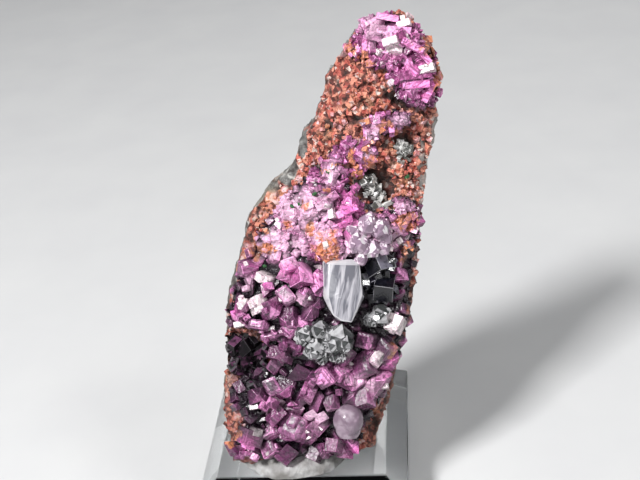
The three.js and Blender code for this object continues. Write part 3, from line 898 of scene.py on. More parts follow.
def add_relief(n, shader, where, scale, pits, strength, distance, roughness, lines=None):
    """A bump and a roughness from the fine relief, with growth lines where they are given."""
    inputs = {"Vector": where, "Scale": scale, "Pits": pits}
    height = n.add("Group", inputs, node_tree=RELIEF).outputs["Height"]
    raised = height if lines is None else n.plus(n.times(height, 0.5), lines)
    bump = n.add("Bump", {"Strength": strength, "Distance": distance, "Height": raised})
    n.fill(shader["Normal"], bump.outputs["Normal"])
    n.fill(shader["Roughness"], n.stretch(height, *roughness))


def mottled(n, where, scale, colours):
    """The mottle's colour and the number of its cell."""
    inputs = {"Vector": where, "Scale": scale, **dict(zip(("First", "Second", "Third"), colours))}
    group = n.add("Group", inputs, node_tree=MOTTLE)
    return group.outputs["Color"], group.outputs["Cell"]

# %% [markdown]
# Pink calcite
#
# Cobalt stains calcite from milky pink to hot magenta. The colour starts from the crystal's own
# number and takes on the pale, hot, rusty and dark zones. Shade is painted in too: nearly black in
# the gaps, darker on the lower part of the stone and on some faces, while other faces get a painted
# light, and the glint crystals and a few others are painted near white as a highlight. The bevelled
# edges are lighter, because light leaks through them. A little subsurface scattering gives the
# sugary depth, and a low roughness gives the flashes from flat faces.

# %% Pink calcite material
# Nearly black: the cracks, and the painted shade in the gaps.
CRACK_AND_GAP_SHADE = (0.012, 0.005, 0.011)
PINK_BODY = (0.33, 0.060, 0.205)
PINK_MIDDLE = (0.54, 0.130, 0.345)
PINK_DARK = (0.11, 0.024, 0.082)
PINK_LIGHT = (0.80, 0.33, 0.62)
PINK_PALE = (1.0, 0.64, 0.84)
PINK_HOT = (0.95, 0.19, 0.60)
RUST = (0.76, 0.28, 0.14)
WHITE_AND_GLINT_HIGHLIGHT = (1.0, 0.87, 0.88)
SMOKE_AND_HOLLOW_SHADE = (0.030, 0.026, 0.032)


def growth_lines(n, where, pick):
    """Fine lines on the faces, which run another way on each crystal."""
    turned = n.add("VectorRotate", {
        "Vector": where, "Axis": (0.3, 1.0, 0.2), "Angle": n.times(pick, 40.0),
    }, rotation_type="AXIS_ANGLE")
    drawn = n.drawn_out(turned.outputs["Vector"], (420.0, 2600.0, 3600.0))
    return n.noise(drawn, 1.0, 3.0, Distortion=0.4)


def make_pink(name):
    material, n, shader, where = start_material(
        name, Subsurface_Weight=0.1, Subsurface_Scale=0.0006, IOR=1.6,
        Subsurface_Radius=(1.0, 0.45, 0.8),
    )
    pick, tone, deep = n.mark("pick"), n.mark("tone"), n.mark("deep")
    clouds = n.noise(where, 900.0, 5.0)
    flecks = n.noise(where, 3600.0, 2.0)
    streaks = growth_lines(n, where, pick)
    shade = n.plus(pick, n.stretch(clouds, 0.3, 0.7, -0.2, 0.2))
    shade = n.plus(shade, n.stretch(streaks, 0.4, 0.6, -0.3, 0.3))
    # Each face's painted light moves it along the ramp.
    shade = n.plus(shade, n.stretch(tone, 0.0, 1.0, -0.35, 0.35))
    # Painted shade on faces with a low tone, more so low on the stone.
    painted_dark_faces = n.times(n.stretch(tone, 0.12, 0.45, 1.0, 0.0), n.stretch(deep, 0.0, 1.0, 0.3, 0.66))
    rough_edge = n.plus(n.mark("rusty"), n.stretch(clouds, 0.3, 0.7, -0.45, 0.45))
    colour = n.layers(
        n.ramp(shade, (0.0, PINK_BODY), (0.55, PINK_MIDDLE), (1.0, PINK_LIGHT)),
        # Painted shade on the lower part of the stone, weaker on crystals with a high number.
        (n.times(deep, n.stretch(pick, 0.0, 1.0, 0.86, 0.3)), PINK_DARK),
        (painted_dark_faces, PINK_DARK),
        # Painted light on faces with a high tone.
        (n.stretch(tone, 0.7, 0.95, 0.0, 0.6), PINK_LIGHT),
        # Pale zone: milky colour, and a painted highlight where it lies on glints.
        (n.mark("pale", 0.9), PINK_PALE),
        (n.mark("hot", 0.75), PINK_HOT),
        (n.stretch(rough_edge, 0.45, 0.75), RUST),
        # Near white for numbers near 1: the white middle of the orange flower, and a painted highlight on
        # the glint crystals and on a few others.
        (n.stretch(pick, 0.965, 0.98, 0.0, 0.9), WHITE_AND_GLINT_HIGHLIGHT),
        (n.mark("rim", 0.3), PINK_LIGHT),
        (n.stretch(flecks, 0.58, 0.74, 0.0, 0.3), PINK_LIGHT),
        (n.stretch(flecks, 0.42, 0.3, 0.0, 0.5), PINK_DARK),
    )
    # Painted light and shade, face by face.
    colour = n.scaled(colour, n.stretch(tone, 0.0, 1.0, 0.76, 1.24))
    colour = n.scaled(colour, n.stretch(streaks, 0.4, 0.6, 0.74, 1.25))
    crack = n.stretch(n.edges(where, 820.0), 0.01, 0.07, 0.8, 0.0)
    # The painted shade of the gaps reaches higher on crystals low on the stone.
    lift = n.calculate("SUBTRACT", n.mark("lift"), n.times(deep, 0.06))
    colour = n.layers(
        colour,
        (n.times(crack, n.stretch(clouds, 0.5, 0.58)), CRACK_AND_GAP_SHADE),
        # Dark zone: the smoky colour, and painted shade in the hollows and gaps.
        (n.mark("dark", 0.78), SMOKE_AND_HOLLOW_SHADE),
        # Painted shade in the gaps, by how far a corner stands out.
        (n.stretch(lift, 0.27, 0.6, 1.0, 0.0), CRACK_AND_GAP_SHADE),
    )
    n.fill(shader["Base Color"], colour)
    add_relief(
        n, shader, where, scale=1500.0, pits=0.25, strength=0.4, distance=0.0003,
        roughness=(0.3, 0.9, 0.12, 0.38), lines=streaks,
    )
    return material


PINK = make_pink("pink_calcite")
print(PINK.name, "has", len(PINK.node_tree.nodes), "nodes")

# %% [markdown]
# The rock
#
# The front of the slab has a granular skin of orange, brown and ochre grains, with a little pink,
# and a few pale grains that are painted glints. Behind the skin the rock is grey, which shows as a
# thin light line along the right edge and as dark grey behind the left rim. The skin attribute
# says where the skin lies, and noise frays its edge. Shade is painted into the pits between the
# grains, into the hollows and onto the lower part of the stone.

# %% Rock material
GREY_DARK = (0.045, 0.045, 0.045)
GREY_MIDDLE = (0.17, 0.165, 0.157)
GREY_LIGHT = (0.44, 0.43, 0.41)
SAND = (0.50, 0.42, 0.31)
VEIN = (0.66, 0.64, 0.60)
STAIN = (0.30, 0.13, 0.06)
SKIN_GRAINS = ((0.52, 0.12, 0.09), (0.115, 0.026, 0.02), (0.68, 0.27, 0.19))
SKIN_PINKS = ((0.68, 0.30, 0.32), (0.50, 0.15, 0.10), (0.84, 0.56, 0.60))
OCHRE = (0.58, 0.30, 0.13)
DARK_GRAIN = (0.04, 0.02, 0.016)
GRAIN_GLINT = (0.8, 0.66, 0.6)
BLACK_AND_HOLLOW_SHADE = (0.014, 0.014, 0.013)
PIT_SHADE = (0.02, 0.01, 0.008)
LOW_SHADE_BROWN = (0.05, 0.022, 0.016)
CHALK = (0.56, 0.54, 0.51)
MALACHITE_GREEN = (0.03, 0.11, 0.035)


def grey_rock_colour(n, where, broad):
    """Grey host rock: soft clouds, sandy patches, pale calcite veins and a little rust."""
    clouds = n.noise(where, 900.0, 8.0, Roughness=0.7)
    veins = n.noise(where, 45.0, 5.0, Distortion=1.2)
    patches = n.noise(where, 75.0, 5.0)
    away = n.calculate("ABSOLUTE", n.calculate("SUBTRACT", veins, 0.5), 0.0)
    greys = n.ramp(clouds, (0.34, GREY_DARK), (0.52, GREY_MIDDLE), (0.72, GREY_LIGHT))
    return n.layers(
        greys,
        (n.stretch(patches, 0.5, 0.62, 0.0, 0.7), n.mix(0.5, greys, SAND)),
        (n.stretch(away, 0.0, 0.01, 0.75, 0.0), VEIN),
        (n.stretch(broad, 0.56, 0.7, 0.0, 0.55), STAIN),
    )


def make_rock():
    material, n, shader, where = start_material("weathered_rock", IOR=1.5)
    grains, cell = mottled(n, where, 1900.0, SKIN_GRAINS)
    pinkish, _ = mottled(n, where, 1500.0, SKIN_PINKS)
    broad = n.noise(where, 320.0, 4.0)
    fine = n.noise(where, 2600.0, 3.0)
    blush = n.plus(n.mark("blush"), n.stretch(broad, 0.42, 0.68, -0.5, 0.5))
    skin = n.layers(
        grains,
        (n.stretch(blush, 0.35, 0.9), pinkish),
        (n.stretch(broad, 0.56, 0.7, 0.0, 0.5), OCHRE),
        (n.times(n.stretch(fine, 0.58, 0.66), 0.8), DARK_GRAIN),
        # A few pale grains: painted glints.
        (n.times(n.stretch(cell, 0.90, 0.95), 0.8), GRAIN_GLINT),
    )
    torn = n.plus(n.mark("skin"), n.stretch(broad, 0.35, 0.65, -0.35, 0.35))
    colour = n.layers(
        grey_rock_colour(n, where, broad),
        (n.stretch(torn, 0.42, 0.58), skin),
        # Dark zone on the rock: painted shade, nearly black, in the hollows and round the dark crystals.
        (n.mark("dark", 0.9), BLACK_AND_HOLLOW_SHADE),
        # Painted shade in the pits between the grains.
        (n.mark("pits"), PIT_SHADE),
        # Painted shade on the lower part of the stone.
        (n.mark("deep", 0.35), LOW_SHADE_BROWN),
        (n.mark("chalk", 0.75), CHALK),
        (n.mark("green"), MALACHITE_GREEN),
    )
    n.fill(shader["Base Color"], colour)
    add_relief(
        n, shader, where, scale=2600.0, pits=0.6, strength=0.7, distance=0.0003,
        roughness=(0.3, 1.2, 0.38, 0.85),
    )
    return material


ROCK = make_rock()
print(ROCK.name, "has", len(ROCK.node_tree.nodes), "nodes")

# %% [markdown]
# Clear, grey and smoky crystals
#
# The clear crystals are calcite without cobalt: see-through, with milky veils inside. Plain
# transmission does it, and what isn't transmitted is a white veil. The smoky ones are nearly
# black, with a blue gloss painted into their colour as a reflection, the ones in the left hollow
# are a blackish plum, and the grey and frosted ones lie between. Each facet gets a painted
# reflection of its own, and the rims are lightened as a painted highlight.

# %% Clear and dark crystal materials
VEIL_TURN = (-0.17, 0.3, 0.12)
RIM_HIGHLIGHT = (0.9, 0.88, 0.92)
EVEN = (1.0, 1.0, 1.0)
ALONG_SLAB = (0.25, 2.2, 2.2)


def make_crystal(name, transmission, colours, roughness, scale, bump, rim, facets, drawn=EVEN, **steady):
    """A crystal material: veils drawn out along the slab, a painted reflection on each facet and rims
    lightened as a painted highlight.
    """
    material, n, shader, where = start_material(
        name, IOR=1.58, Transmission_Weight=transmission, **steady,
    )
    lined = n.drawn_out(where, drawn, "TEXTURE", VEIL_TURN)
    veils = n.noise(lined, scale, 4.0, Distortion=0.6)
    # Each facet's painted reflection, standing in for what it mirrors and shows through.
    shade = n.plus(veils, n.stretch(n.mark("tone"), 0.0, 1.0, -facets, facets))
    colour = n.ramp(shade, *zip((0.3, 0.5, 0.7), colours))
    n.fill(shader["Base Color"], n.layers(colour, (n.mark("rim", rim), RIM_HIGHLIGHT)))
    add_relief(
        n, shader, where, scale=scale * 2, pits=0.3, strength=bump, distance=0.0002,
        roughness=(0.3, 0.9, *roughness),
    )
    return material


CLEAR = make_crystal(
    "clear_calcite", 0.5, [(0.09, 0.095, 0.095), (0.40, 0.39, 0.41), (0.96, 0.95, 0.97)],
    roughness=(0.01, 0.08), scale=700.0, bump=0.06, rim=0.25, facets=0.2,
)
VEILED = make_crystal(
    "veiled_calcite", 0.4, [(0.24, 0.24, 0.28), (0.76, 0.74, 0.80), (1.0, 0.99, 1.0)],
    roughness=(0.01, 0.14), scale=520.0, bump=0.2, rim=0.8, facets=0.14, drawn=ALONG_SLAB,
)
MILKY = make_crystal(
    "milky_calcite", 0.5, [(0.40, 0.28, 0.37), (0.76, 0.62, 0.72), (1.0, 0.94, 0.98)],
    roughness=(0.0, 0.07), scale=420.0, bump=0.25, rim=0.3, facets=0.2,
)
FROSTED = make_crystal(
    "frosted_calcite", 0.25, [(0.34, 0.23, 0.32), (0.82, 0.62, 0.76), (1.0, 0.94, 0.98)],
    roughness=(0.02, 0.16), scale=900.0, bump=0.15, rim=0.7, facets=0.26,
)
GREY = make_crystal(
    "grey_calcite", 0.2, [(0.09, 0.09, 0.082), (0.46, 0.45, 0.43), (0.88, 0.87, 0.84)],
    roughness=(0.04, 0.2), scale=1600.0, bump=0.15, rim=0.2, facets=0.2,
)
SMOKY = make_crystal(
    "smoky_calcite", 0.0, [(0.004, 0.004, 0.007), (0.022, 0.020, 0.031), (0.21, 0.20, 0.25)],
    roughness=(0.03, 0.16), scale=1100.0, bump=0.3, rim=0.25, facets=0.26,
)
PLUM = make_crystal(
    "plum_calcite", 0.0, [(0.002, 0.001, 0.002), (0.012, 0.006, 0.011), (0.13, 0.045, 0.10)],
    roughness=(0.3, 0.6), scale=1300.0, bump=0.25, rim=0.06, facets=0.2, Specular_IOR_Level=0.15,
)

# %% [markdown]
# Acrylic and tack
#
# The block is cast acrylic with polished faces: full transmission, an index of 1.49 and hardly
# any roughness, with faint scratches. The tack is white putty, matt, with finger dents and dust.

# %% Acrylic and tack materials
ACRYLIC_TINT = (0.985, 0.995, 1.0)
TACK_SHADE = (0.22, 0.21, 0.20)
TACK_LIGHT = (0.46, 0.455, 0.455)
TACK_CRACK = (0.30, 0.28, 0.25)


def make_acrylic():
    material, n, shader, where = start_material(
        "clear_acrylic", IOR=1.49, Transmission_Weight=1.0, Base_Color=ACRYLIC_TINT,
    )
    scratches = n.noise(n.drawn_out(where, (160.0, 2400.0, 900.0)), 1.0, 2.0)
    n.fill(shader["Roughness"], n.stretch(scratches, 0.62, 0.8, 0.004, 0.07))
    return material


def make_tack():
    material, n, shader, where = start_material("white_tack", IOR=1.45)
    dust = n.noise(where, 420.0, 7.0)
    crack = n.stretch(n.edges(where, 260.0), 0.0, 0.035, 0.45, 0.0)
    colour = n.layers(
        n.ramp(dust, (0.36, TACK_SHADE), (0.62, TACK_LIGHT)),
        (n.times(crack, n.stretch(dust, 0.5, 0.6)), TACK_CRACK),
    )
    n.fill(shader["Base Color"], colour)
    add_relief(
        n, shader, where, scale=520.0, pits=0.5, strength=0.7, distance=0.0009,
        roughness=(0.3, 0.9, 0.55, 0.8),
    )
    return material


ACRYLIC = make_acrylic()
TACK = make_tack()
print("materials:", len(bpy.data.materials))

# %% [markdown]
# The slab
#
# The solid has broad broken faces. A voxel remesh turns them into an even fine net, and then each
# corner moves along its normal: by slow waves for lumps, by cells for the granular skin, by tilted
# planes for the broken faces behind, and by fine noise for grit. The skin lies on the front and
# round the crown. Corners that end up low are marked as pits, which get painted shade, and the
# light right rim as chalk.

# %% The slab's rock
VOXEL = 0.27 * MM
SKIN_DEPTH = 3.4
CROWN_ABOVE = 58
CHALK_SPOT = (0, 43, 9, 9)
SLAB_MARKS = ("skin", "blush", "dark", "pits", "deep", "green", "chalk")


def remeshed(source, voxel):
    """An even net over a closed mesh, by the Remesh modifier."""
    mesh = finished(source, "remesh_source")
    holder = add_object("remesh_source", mesh)
    modifier = holder.modifiers.new("voxels", "REMESH")
    modifier.mode = "VOXEL"
    modifier.voxel_size = voxel
    graph = bpy.context.evaluated_depsgraph_get()
    net = bpy.data.meshes.new_from_object(holder.evaluated_get(graph))
    bpy.data.objects.remove(holder)
    bpy.data.meshes.remove(mesh)
    return net


def grain(place, size):
    """How far a grain of a size stands out at a place, from 0 in a gap to 1 on its crown."""
    distances = noise.voronoi(place / size)[0]
    return 1 - min(1, distances[0] * 1.25)


def broken_face(place, size):
    """Flat broken facets: each cell of the rock is a small plane with its own tilt."""
    centre = noise.voronoi(place / size)[1][0]
    tilt = noise.cell_vector(centre * 7.0) * 2 - Vector((1, 1, 1))
    return (place / size - centre).dot(tilt) * size


def inside_crusts(across, height):
    """Distance inside the nearer of the two crusts, negative outside both."""
    return max(inside_by(across, height, MAIN_EDGE), inside_by(across, height, TIP_EDGE))


def make_slab():
    """The fine net of the rock, with its lumps, grains, broken faces and marks."""
    rough = stone_copy("limestone_slab")
    bmesh.ops.transform(rough, matrix=STONE, verts=rough.verts)
    slab = bmesh.new()
    pour(remeshed(rough, VOXEL), slab)
    bmesh.ops.transform(slab, matrix=TO_STONE, verts=slab.verts)
    slab.normal_update()
    layers = {name: slab.verts.layers.float.new(name) for name in SLAB_MARKS}
    moves = []
    for corner in slab.verts:
        place, normal = corner.co, corner.normal
        behind = place.y - rock_depth(place.x, place.z)
        front = clamped(0.6 - 1.6 * normal.y) * clamped((SKIN_DEPTH - behind) / 1.6)
        lumps = 0.42 * noise.noise(place * 0.42) + 0.2 * noise.noise(place * 1.1 + Vector((7, 0, 3)))
        grains = grain(place, 1.25) * 0.34 + grain(place + Vector((5, 2, 1)), 0.7) * 0.2
        grit = 0.05 * noise.noise(place * 6.0)
        hollow = 0.8 * felt(place.x, place.z, DARK) * front
        broken = 0.12 * broken_face(place, 9.0) + 0.16 * broken_face(place + Vector((3, 1, 4)), 3.4)
        rear = 1 - front
        skin = (grains - 0.26) * (0.05 + 0.95 * front)
        out = lumps * (1 - 0.6 * rear) + skin + broken * rear + grit - hollow
        crown = clamped((place.z - CROWN_ABOVE) / 3) * clamped((5 - behind) / 2)
        corner[layers["skin"]] = max(crown, front * (1 - felt(place.x, place.z, BARE)))
        # How low the corner is, for painted shade.
        corner[layers["deep"]] = shade_lower_down(place.z)
        near = inside_crusts(place.x, place.z)
        corner[layers["blush"]] = front * (clamped(1 + near / 2.6) if near < 0.5 else 0.6)
        # The dark mark paints shade, nearly black, into the carved hollows.
        corner[layers["dark"]] = felt(place.x, place.z, DARK) * front
        # Low corners between grains are marked for painted shade.
        corner[layers["pits"]] = clamped((0.25 - grains) * 6) * (0.95 - 0.85 * rear)
        sideways = clamped(4 * normal.x - 1.6) * clamped(3 - place.y)
        corner[layers["chalk"]] = sideways * reach(0, place.z, CHALK_SPOT)
        moves.append(normal * out)
    for corner, move in zip(slab.verts, moves):
        corner.co += move
    return slab


slab_mesh = make_slab()
print("slab corners:", len(slab_mesh.verts))

# %% [markdown]
# Grains on the skin
#
# From near by, the brown skin is a druse of tiny rhombs. As many small crystals as find room, with
# the rock's own colours, break up its outline and catch glints. They belong to the slab's mesh,
# and so do a few tiny green specks.

# %% Grains of the skin
FRONT_EDGE = [
    (-11.5, 1.0), (8.6, 3.0), (9.9, 12.0), (10.0, 26.0), (9.2, 34.0), (8.0, 41.0), (7.2, 49.0),
    (6.4, 56.0), (2.6, 61.4), (-3.6, 60.6), (-6.2, 55.4), (-7.4, 51.6), (-7.4, 47.8), (-9.2, 41.4),
    (-12.8, 34.0), (-13.6, 26.0), (-13.4, 14.0), (-12.0, 6.0),
]
GRAIN_THROWS = 4500
GREEN_SPECKS = [
    (-8.8, 36.5, 1.9), (-7.8, 37.0, 1.9), (-5.2, 41.9, 1.2), (4.9, 43.1, 0.3), (-10.7, 27.6, 1.6),
    (-6.3, 38.9, 1.6),
]


def make_grain():
    grain_template = bmesh.new()
    bmesh.ops.create_cube(grain_template, size=1.0)
    bmesh.ops.transform(grain_template, matrix=DIAGONAL_UP, verts=grain_template.verts)
    return finished(grain_template, "grain")


def add_grain(slab, mesh, place, edge, dice, marks):
    """One tiny rhomb on the slab, with marks for the material."""
    aim = random_aim(dice, 70)
    copy = mesh.copy()
    copy.transform(crystal_matrix(place, edge, 0.8, aim, 6 * dice()))
    layers = slab.verts.layers.float
    for corner in pour(copy, slab):
        for key, value in marks.items():
            corner[layers[key]] = value


def add_grains(slab, count, dice):
    mesh = make_grain()
    places = with_fill([], FRONT_EDGE, count, (0.35, 0.8), dice, crowding=0.38, margin=0.1)
    for across, height, edge in places:
        if inside_crusts(across, height) > 0.8 or felt(across, height, BARE + DARK) > 0.4:
            continue
        place = Vector((across, rock_depth(across, height) + 0.1, height))
        pinkness = 0.9 if dice() > 0.72 else 0.1
        # The grains take the painted shade low on the stone too.
        marks = {"skin": 1, "blush": pinkness, "deep": shade_lower_down(height)}
        add_grain(slab, mesh, place, edge, dice, marks)
    for across, height, out in GREEN_SPECKS:
        for _ in range(3):
            place = Vector((across + 0.4 * dice(), rock_depth(across, height) - out, height + 0.3 * dice()))
            add_grain(slab, mesh, place, 0.3, dice, {"skin": 1, "green": 1})


add_grains(slab_mesh, GRAIN_THROWS, make_dice(101))
keep_piece(slab_mesh, "rock_slab", ROCK, "limestone_slab", 40)

# %% [markdown]
# The pink crusts
#
# A crust is a bed with crystals standing in it. The bed is a grid laid over the area, pushed
# forward from the rock and extruded back into it, so that no rock shows between the crystals.
# On it stand the crystals that the solids have, then middling and small ones in every gap.

# %% A crust's bed
BED_STEP = 0.55
BED_MARGIN = 0.6
BED_THICKNESS = 0.5


def bed_grid(edge):
    """An upright grid over an area, without the parts outside it."""
    low_x, high_x = min(x for x, _ in edge) - BED_MARGIN, max(x for x, _ in edge) + BED_MARGIN
    low_z, high_z = min(z for _, z in edge) - BED_MARGIN, max(z for _, z in edge) + BED_MARGIN
    columns = round((high_x - low_x) / BED_STEP)
    rows = round((high_z - low_z) / BED_STEP)
    bed = new_druse()
    bmesh.ops.create_grid(bed, x_segments=columns, y_segments=rows, size=0.5)
    spread = Matrix.Diagonal((high_x - low_x, high_z - low_z, 1, 1))
    middle = Matrix.Translation(((low_x + high_x) / 2, 0, (low_z + high_z) / 2))
    upright = Matrix.Rotation(math.pi / 2, 4, "X")
    bmesh.ops.transform(bed, matrix=middle @ upright @ spread, verts=bed.verts)
    outside = [
        v for v in bed.verts
        if inside_by(v.co.x, v.co.z, edge) < -0.1 or v.co.z < foot_line(v.co.x) - 0.3
    ]
    bmesh.ops.delete(bed, geom=outside, context="VERTS")
    return bed


def add_bed(druse, edge):
    """A bumpy bed in front of the rock, closed by a back inside the rock."""
    bed = bed_grid(edge)
    pick = bed.verts.layers.float["pick"]
    for corner in bed.verts:
        across, height = corner.co.x, corner.co.z
        share = clamped(inside_by(across, height, edge) / 1.1)
        uneven = 0.5 * noise.noise(Vector((across, 0, height)) * 0.8) + 0.35 * grain(corner.co, 1.4)
        corner.co.y = rock_depth(across, height) - 0.1 - share * (BED_THICKNESS + uneven)
        corner[pick] = 0.4
    back = bmesh.ops.extrude_face_region(bed, geom=bed.faces[:])
    for item in back["geom"]:
        if isinstance(item, bmesh.types.BMVert):
            item.co.y = rock_depth(item.co.x, item.co.z) + 1.0
    bmesh.ops.recalc_face_normals(bed, faces=bed.faces)
    pour(finished(bed, "bed"), druse)

# %% [markdown]
# Building a crust
#
# The order matters: the shared crystals come first, then the late ones and the extras, and each
# round of fill only uses the room that is left. At the end all corners and faces get their marks.

# %% Building a crust


def make_crust(name, node, edge_points, listed, lift, seed, fills, late=(), sugar=(), bars=()):
    """A bed with the listed crystals on it, the late ones, sugar, bars, fills and glints."""
    druse = new_druse()
    add_bed(druse, edge_points)
    add_standing(druse, listed, lift, make_dice(seed), make_dice(seed + 200))
    add_standing(druse, late, lift, make_dice(seed + 700), make_dice(seed + 701))
    add_sugar(druse, sugar, make_dice(seed + 800))
    add_bars(druse, bars, make_dice(seed + 900))
    everything = list(listed)
    for turn, (count, sizes, crowding, fill_lift) in enumerate(fills):
        known = len(everything)
        dice = make_dice(seed + 300 + turn)
        everything = with_fill(everything, edge_points, count, sizes, dice, crowding, 0.0)
        fresh = everything[known:]
        add_standing(druse, fresh, fill_lift, make_dice(seed + 400 + turn), make_dice(seed + 500 + turn))
        print(name, "gets", len(fresh), "crystals of", sizes, "mm")
    for across, height, edge in GLINTS:
        if inside_by(across, height, edge_points) > 0:
            add_glint(druse, across, height, edge, make_dice(seed + 600))
    mark_corners(druse)
    set_facet_light(druse)
    return keep_piece(druse, name, PINK, node)


ORANGE_FLOWER = (-3.3, 32.7, 2.1, 1.25, 300, 1.5)
MAIN_SPRINKLE = (5.5, 39.3, 1.5, 0.6, 50, 0.8)
TIP_SPRINKLE = (2.6, 50.4, 1.2, 0.8, 40, 0.8)
MAIN_FILLS = [(700, (1.2, 1.7), 0.4, 0.6), (2000, (0.6, 1.1), 0.3, 0.5)]
TIP_FILLS = [(300, (0.8, 1.1), 0.36, 0.7), (600, (0.4, 0.8), 0.27, 0.7)]

make_crust(
    "main_crust", "pink_crust_main", MAIN_EDGE, main_list, lift=1.3, seed=23, fills=MAIN_FILLS,
    late=LATE_CRYSTALS, sugar=[ORANGE_FLOWER, MAIN_SPRINKLE],
)
make_crust(
    "tip_crust", "pink_crust_tip", TIP_EDGE, tip_list, lift=0.7, seed=29, fills=TIP_FILLS,
    sugar=[TIP_SPRINKLE], bars=TIP_BARS,
)

# %% [markdown]
# Pink patches
#
# Three small groups of pink crystals stand on the brown skin between the crusts. They are made as
# the crust's crystals are, with a few grains of pink scattered round each.

# %% Patches


def make_patch(name, node, listed, seed, spin):
    """Tight knots of small crystals, turned nearly alike, some of them rusty."""
    druse = new_druse()
    dice = make_dice(seed + 300)
    for across, height, edge in listed:
        for _ in range(16):
            angle, far = 2 * math.pi * dice(), edge * 0.62 * math.sqrt(dice())
            x, z = beside(across, height, angle, far)
            place = Vector((x, rock_depth(x, z) - 0.25 - 0.22 * (edge - far), z))
            aim = random_aim(dice, 40)
            turn = spin + 0.7 * (dice() - 0.5)
            shape = BAR if dice() > 0.45 else pick_template(dice)
            add_crystal(druse, crystal_matrix(place, 0.5 + 0.7 * dice(), 0.9, aim, turn), dice(), shape)
    mark_corners(druse)
    lift, pick, rusty = (druse.verts.layers.float[key] for key in ("lift", "pick", "rusty"))
    for corner in druse.verts:
        # The patches get less painted shade in their gaps.
        corner[lift] = min(1, corner[lift] * 1.9 + 0.12)
        if corner[pick] * 7 % 1 > 0.72:
            corner[rusty] = 0.9
    set_facet_light(druse)
    return keep_piece(druse, name, PINK, node)


make_patch("upper_patch", "pink_patch_upper", UPPER_PATCH, seed=67, spin=math.pi / 2)
make_patch("centre_patch", "pink_patch_centre", CENTRE_PATCH, seed=71, spin=0.4)
make_patch("left_patch", "pink_patch_left", LEFT_PATCH, seed=73, spin=math.pi / 2)

# %% [markdown]
# Crystal lumps
#
# The smaller clear and grey crystals are rounded lumps with flat facets. A sphere gives the round
# parts, and a few cuts by planes at chosen depths give the facets. Each lump is turned its own
# way. The same centres and sizes as in the solids keep them in place.

# %% Crystal lumps
GEM_TALLNESS = 1.12


def random_way(dice):
    """A direction of length 1, with every direction as likely as any other."""
    height = 2 * dice() - 1
    turn = 2 * math.pi * dice()
    flat = math.sqrt(1 - height * height)
    return Vector((flat * math.cos(turn), flat * math.sin(turn), height))


def make_gem(centre, radius, dice, cuts, roundness):
    """A sphere with flat facets cut into it. Roundness is the number of times its net is divided."""
    gem = bmesh.new()
    bmesh.ops.create_icosphere(gem, subdivisions=roundness, radius=radius)
    for _ in range(cuts):
        way = random_way(dice)
        cut_by(gem, way * radius * (0.64 + 0.22 * dice()), way)
    placed = Matrix.Translation(centre) @ Matrix.Diagonal((1, 1, GEM_TALLNESS, 1))
    bmesh.ops.transform(gem, matrix=placed, verts=gem.verts)
    return finished(gem, "gem")


def united(meshes):
    """One closed skin round overlapping solids, so that light bends only at the outside."""
    holders = [bpy.data.objects.new("part", mesh) for mesh in meshes]
    others = bpy.data.collections.new("others")
    bpy.context.scene.collection.objects.link(holders[0])
    bpy.context.scene.collection.children.link(others)
    for holder in holders[1:]:
        others.objects.link(holder)
    union = holders[0].modifiers.new("union", "BOOLEAN")
    union.operation = "UNION"
    union.solver = "EXACT"
    union.operand_type = "COLLECTION"
    union.collection = others
    graph = bpy.context.evaluated_depsgraph_get()
    skin = bpy.data.meshes.new_from_object(holders[0].evaluated_get(graph))
    for holder in holders:
        bpy.data.objects.remove(holder)
    bpy.data.collections.remove(others)
    for mesh in meshes:
        bpy.data.meshes.remove(mesh)
    return skin


def make_lumps(name, node, listed, material, seed, cuts, buds, roundness=1, smooth_below=None):
    """Lumps with facets. Buds are smaller crystals that grow out of each lump's front."""
    dice = make_dice(seed)
    gems = []
    for across, depth, height, radius in listed:
        centre = Vector((across, depth, height))
        gems.append(make_gem(centre, radius, dice, cuts, roundness))
        for _ in range(buds):
            way = random_way(dice)
            way.y = -abs(way.y)
            bud = radius * (0.26 + 0.24 * dice())
            gems.append(make_gem(centre + way * radius * 0.66, bud, dice, 7, 1))
    druse = bmesh.new()
    pour(united(gems), druse)
    if smooth_below is None:
        set_facet_light(druse)
    return keep_piece(druse, name, material, node, smooth_below)


make_lumps("lower_cluster", "lower_clear_cluster", [
    (-3.6, -3.6, 19.9, 1.6), (-1.9, -3.8, 21.2, 1.4), (0.8, -4.2, 20.3, 2.2), (-2.1, -4.4, 18.5, 1.6),
    (-0.9, -3.9, 17.5, 1.2), (1.2, -3.8, 18.2, 1.4), (-0.6, -4.9, 19.6, 1.1),
], CLEAR, seed=31, cuts=7, buds=6)
make_lumps("right_cluster", "right_clear_cluster", [
    (5.7, -3.3, 24.6, 1.5), (4.7, -3.1, 23.6, 1.2), (6.3, -3.0, 23.8, 1.0),
], CLEAR, seed=37, cuts=7, buds=6)
make_lumps("pale_crystals", "upper_pale_crystals", [
    (1.2, -3.3, 36.6, 1.5), (3.0, -3.2, 36.3, 1.5), (0.6, -3.5, 34.0, 1.6), (2.4, -3.3, 33.4, 1.4),
    (4.1, -2.8, 33.6, 1.0), (-0.4, -3.2, 35.6, 1.0), (1.4, -3.6, 31.9, 1.0), (3.9, -2.7, 35.2, 1.2),
], FROSTED, seed=41, cuts=12, buds=5)
make_lumps("round_clear", "round_clear_crystal", [
    (4.8, -3.2, 8.2, 2.1), (5.1, -3.0, 7.0, 1.8),
], MILKY, seed=43, cuts=3, buds=0, roundness=4, smooth_below=25)

# %% [markdown]
# The large clear crystal
#
# It is one block with cleavage faces and a blunt lower end. The convex hull of a few given
# corners gives the faces, as in the solid, and bevels round the edges. The first seven corners lie
# in one plane, which is the broad front face. The root goes a little into the crust, where nobody
# sees it.

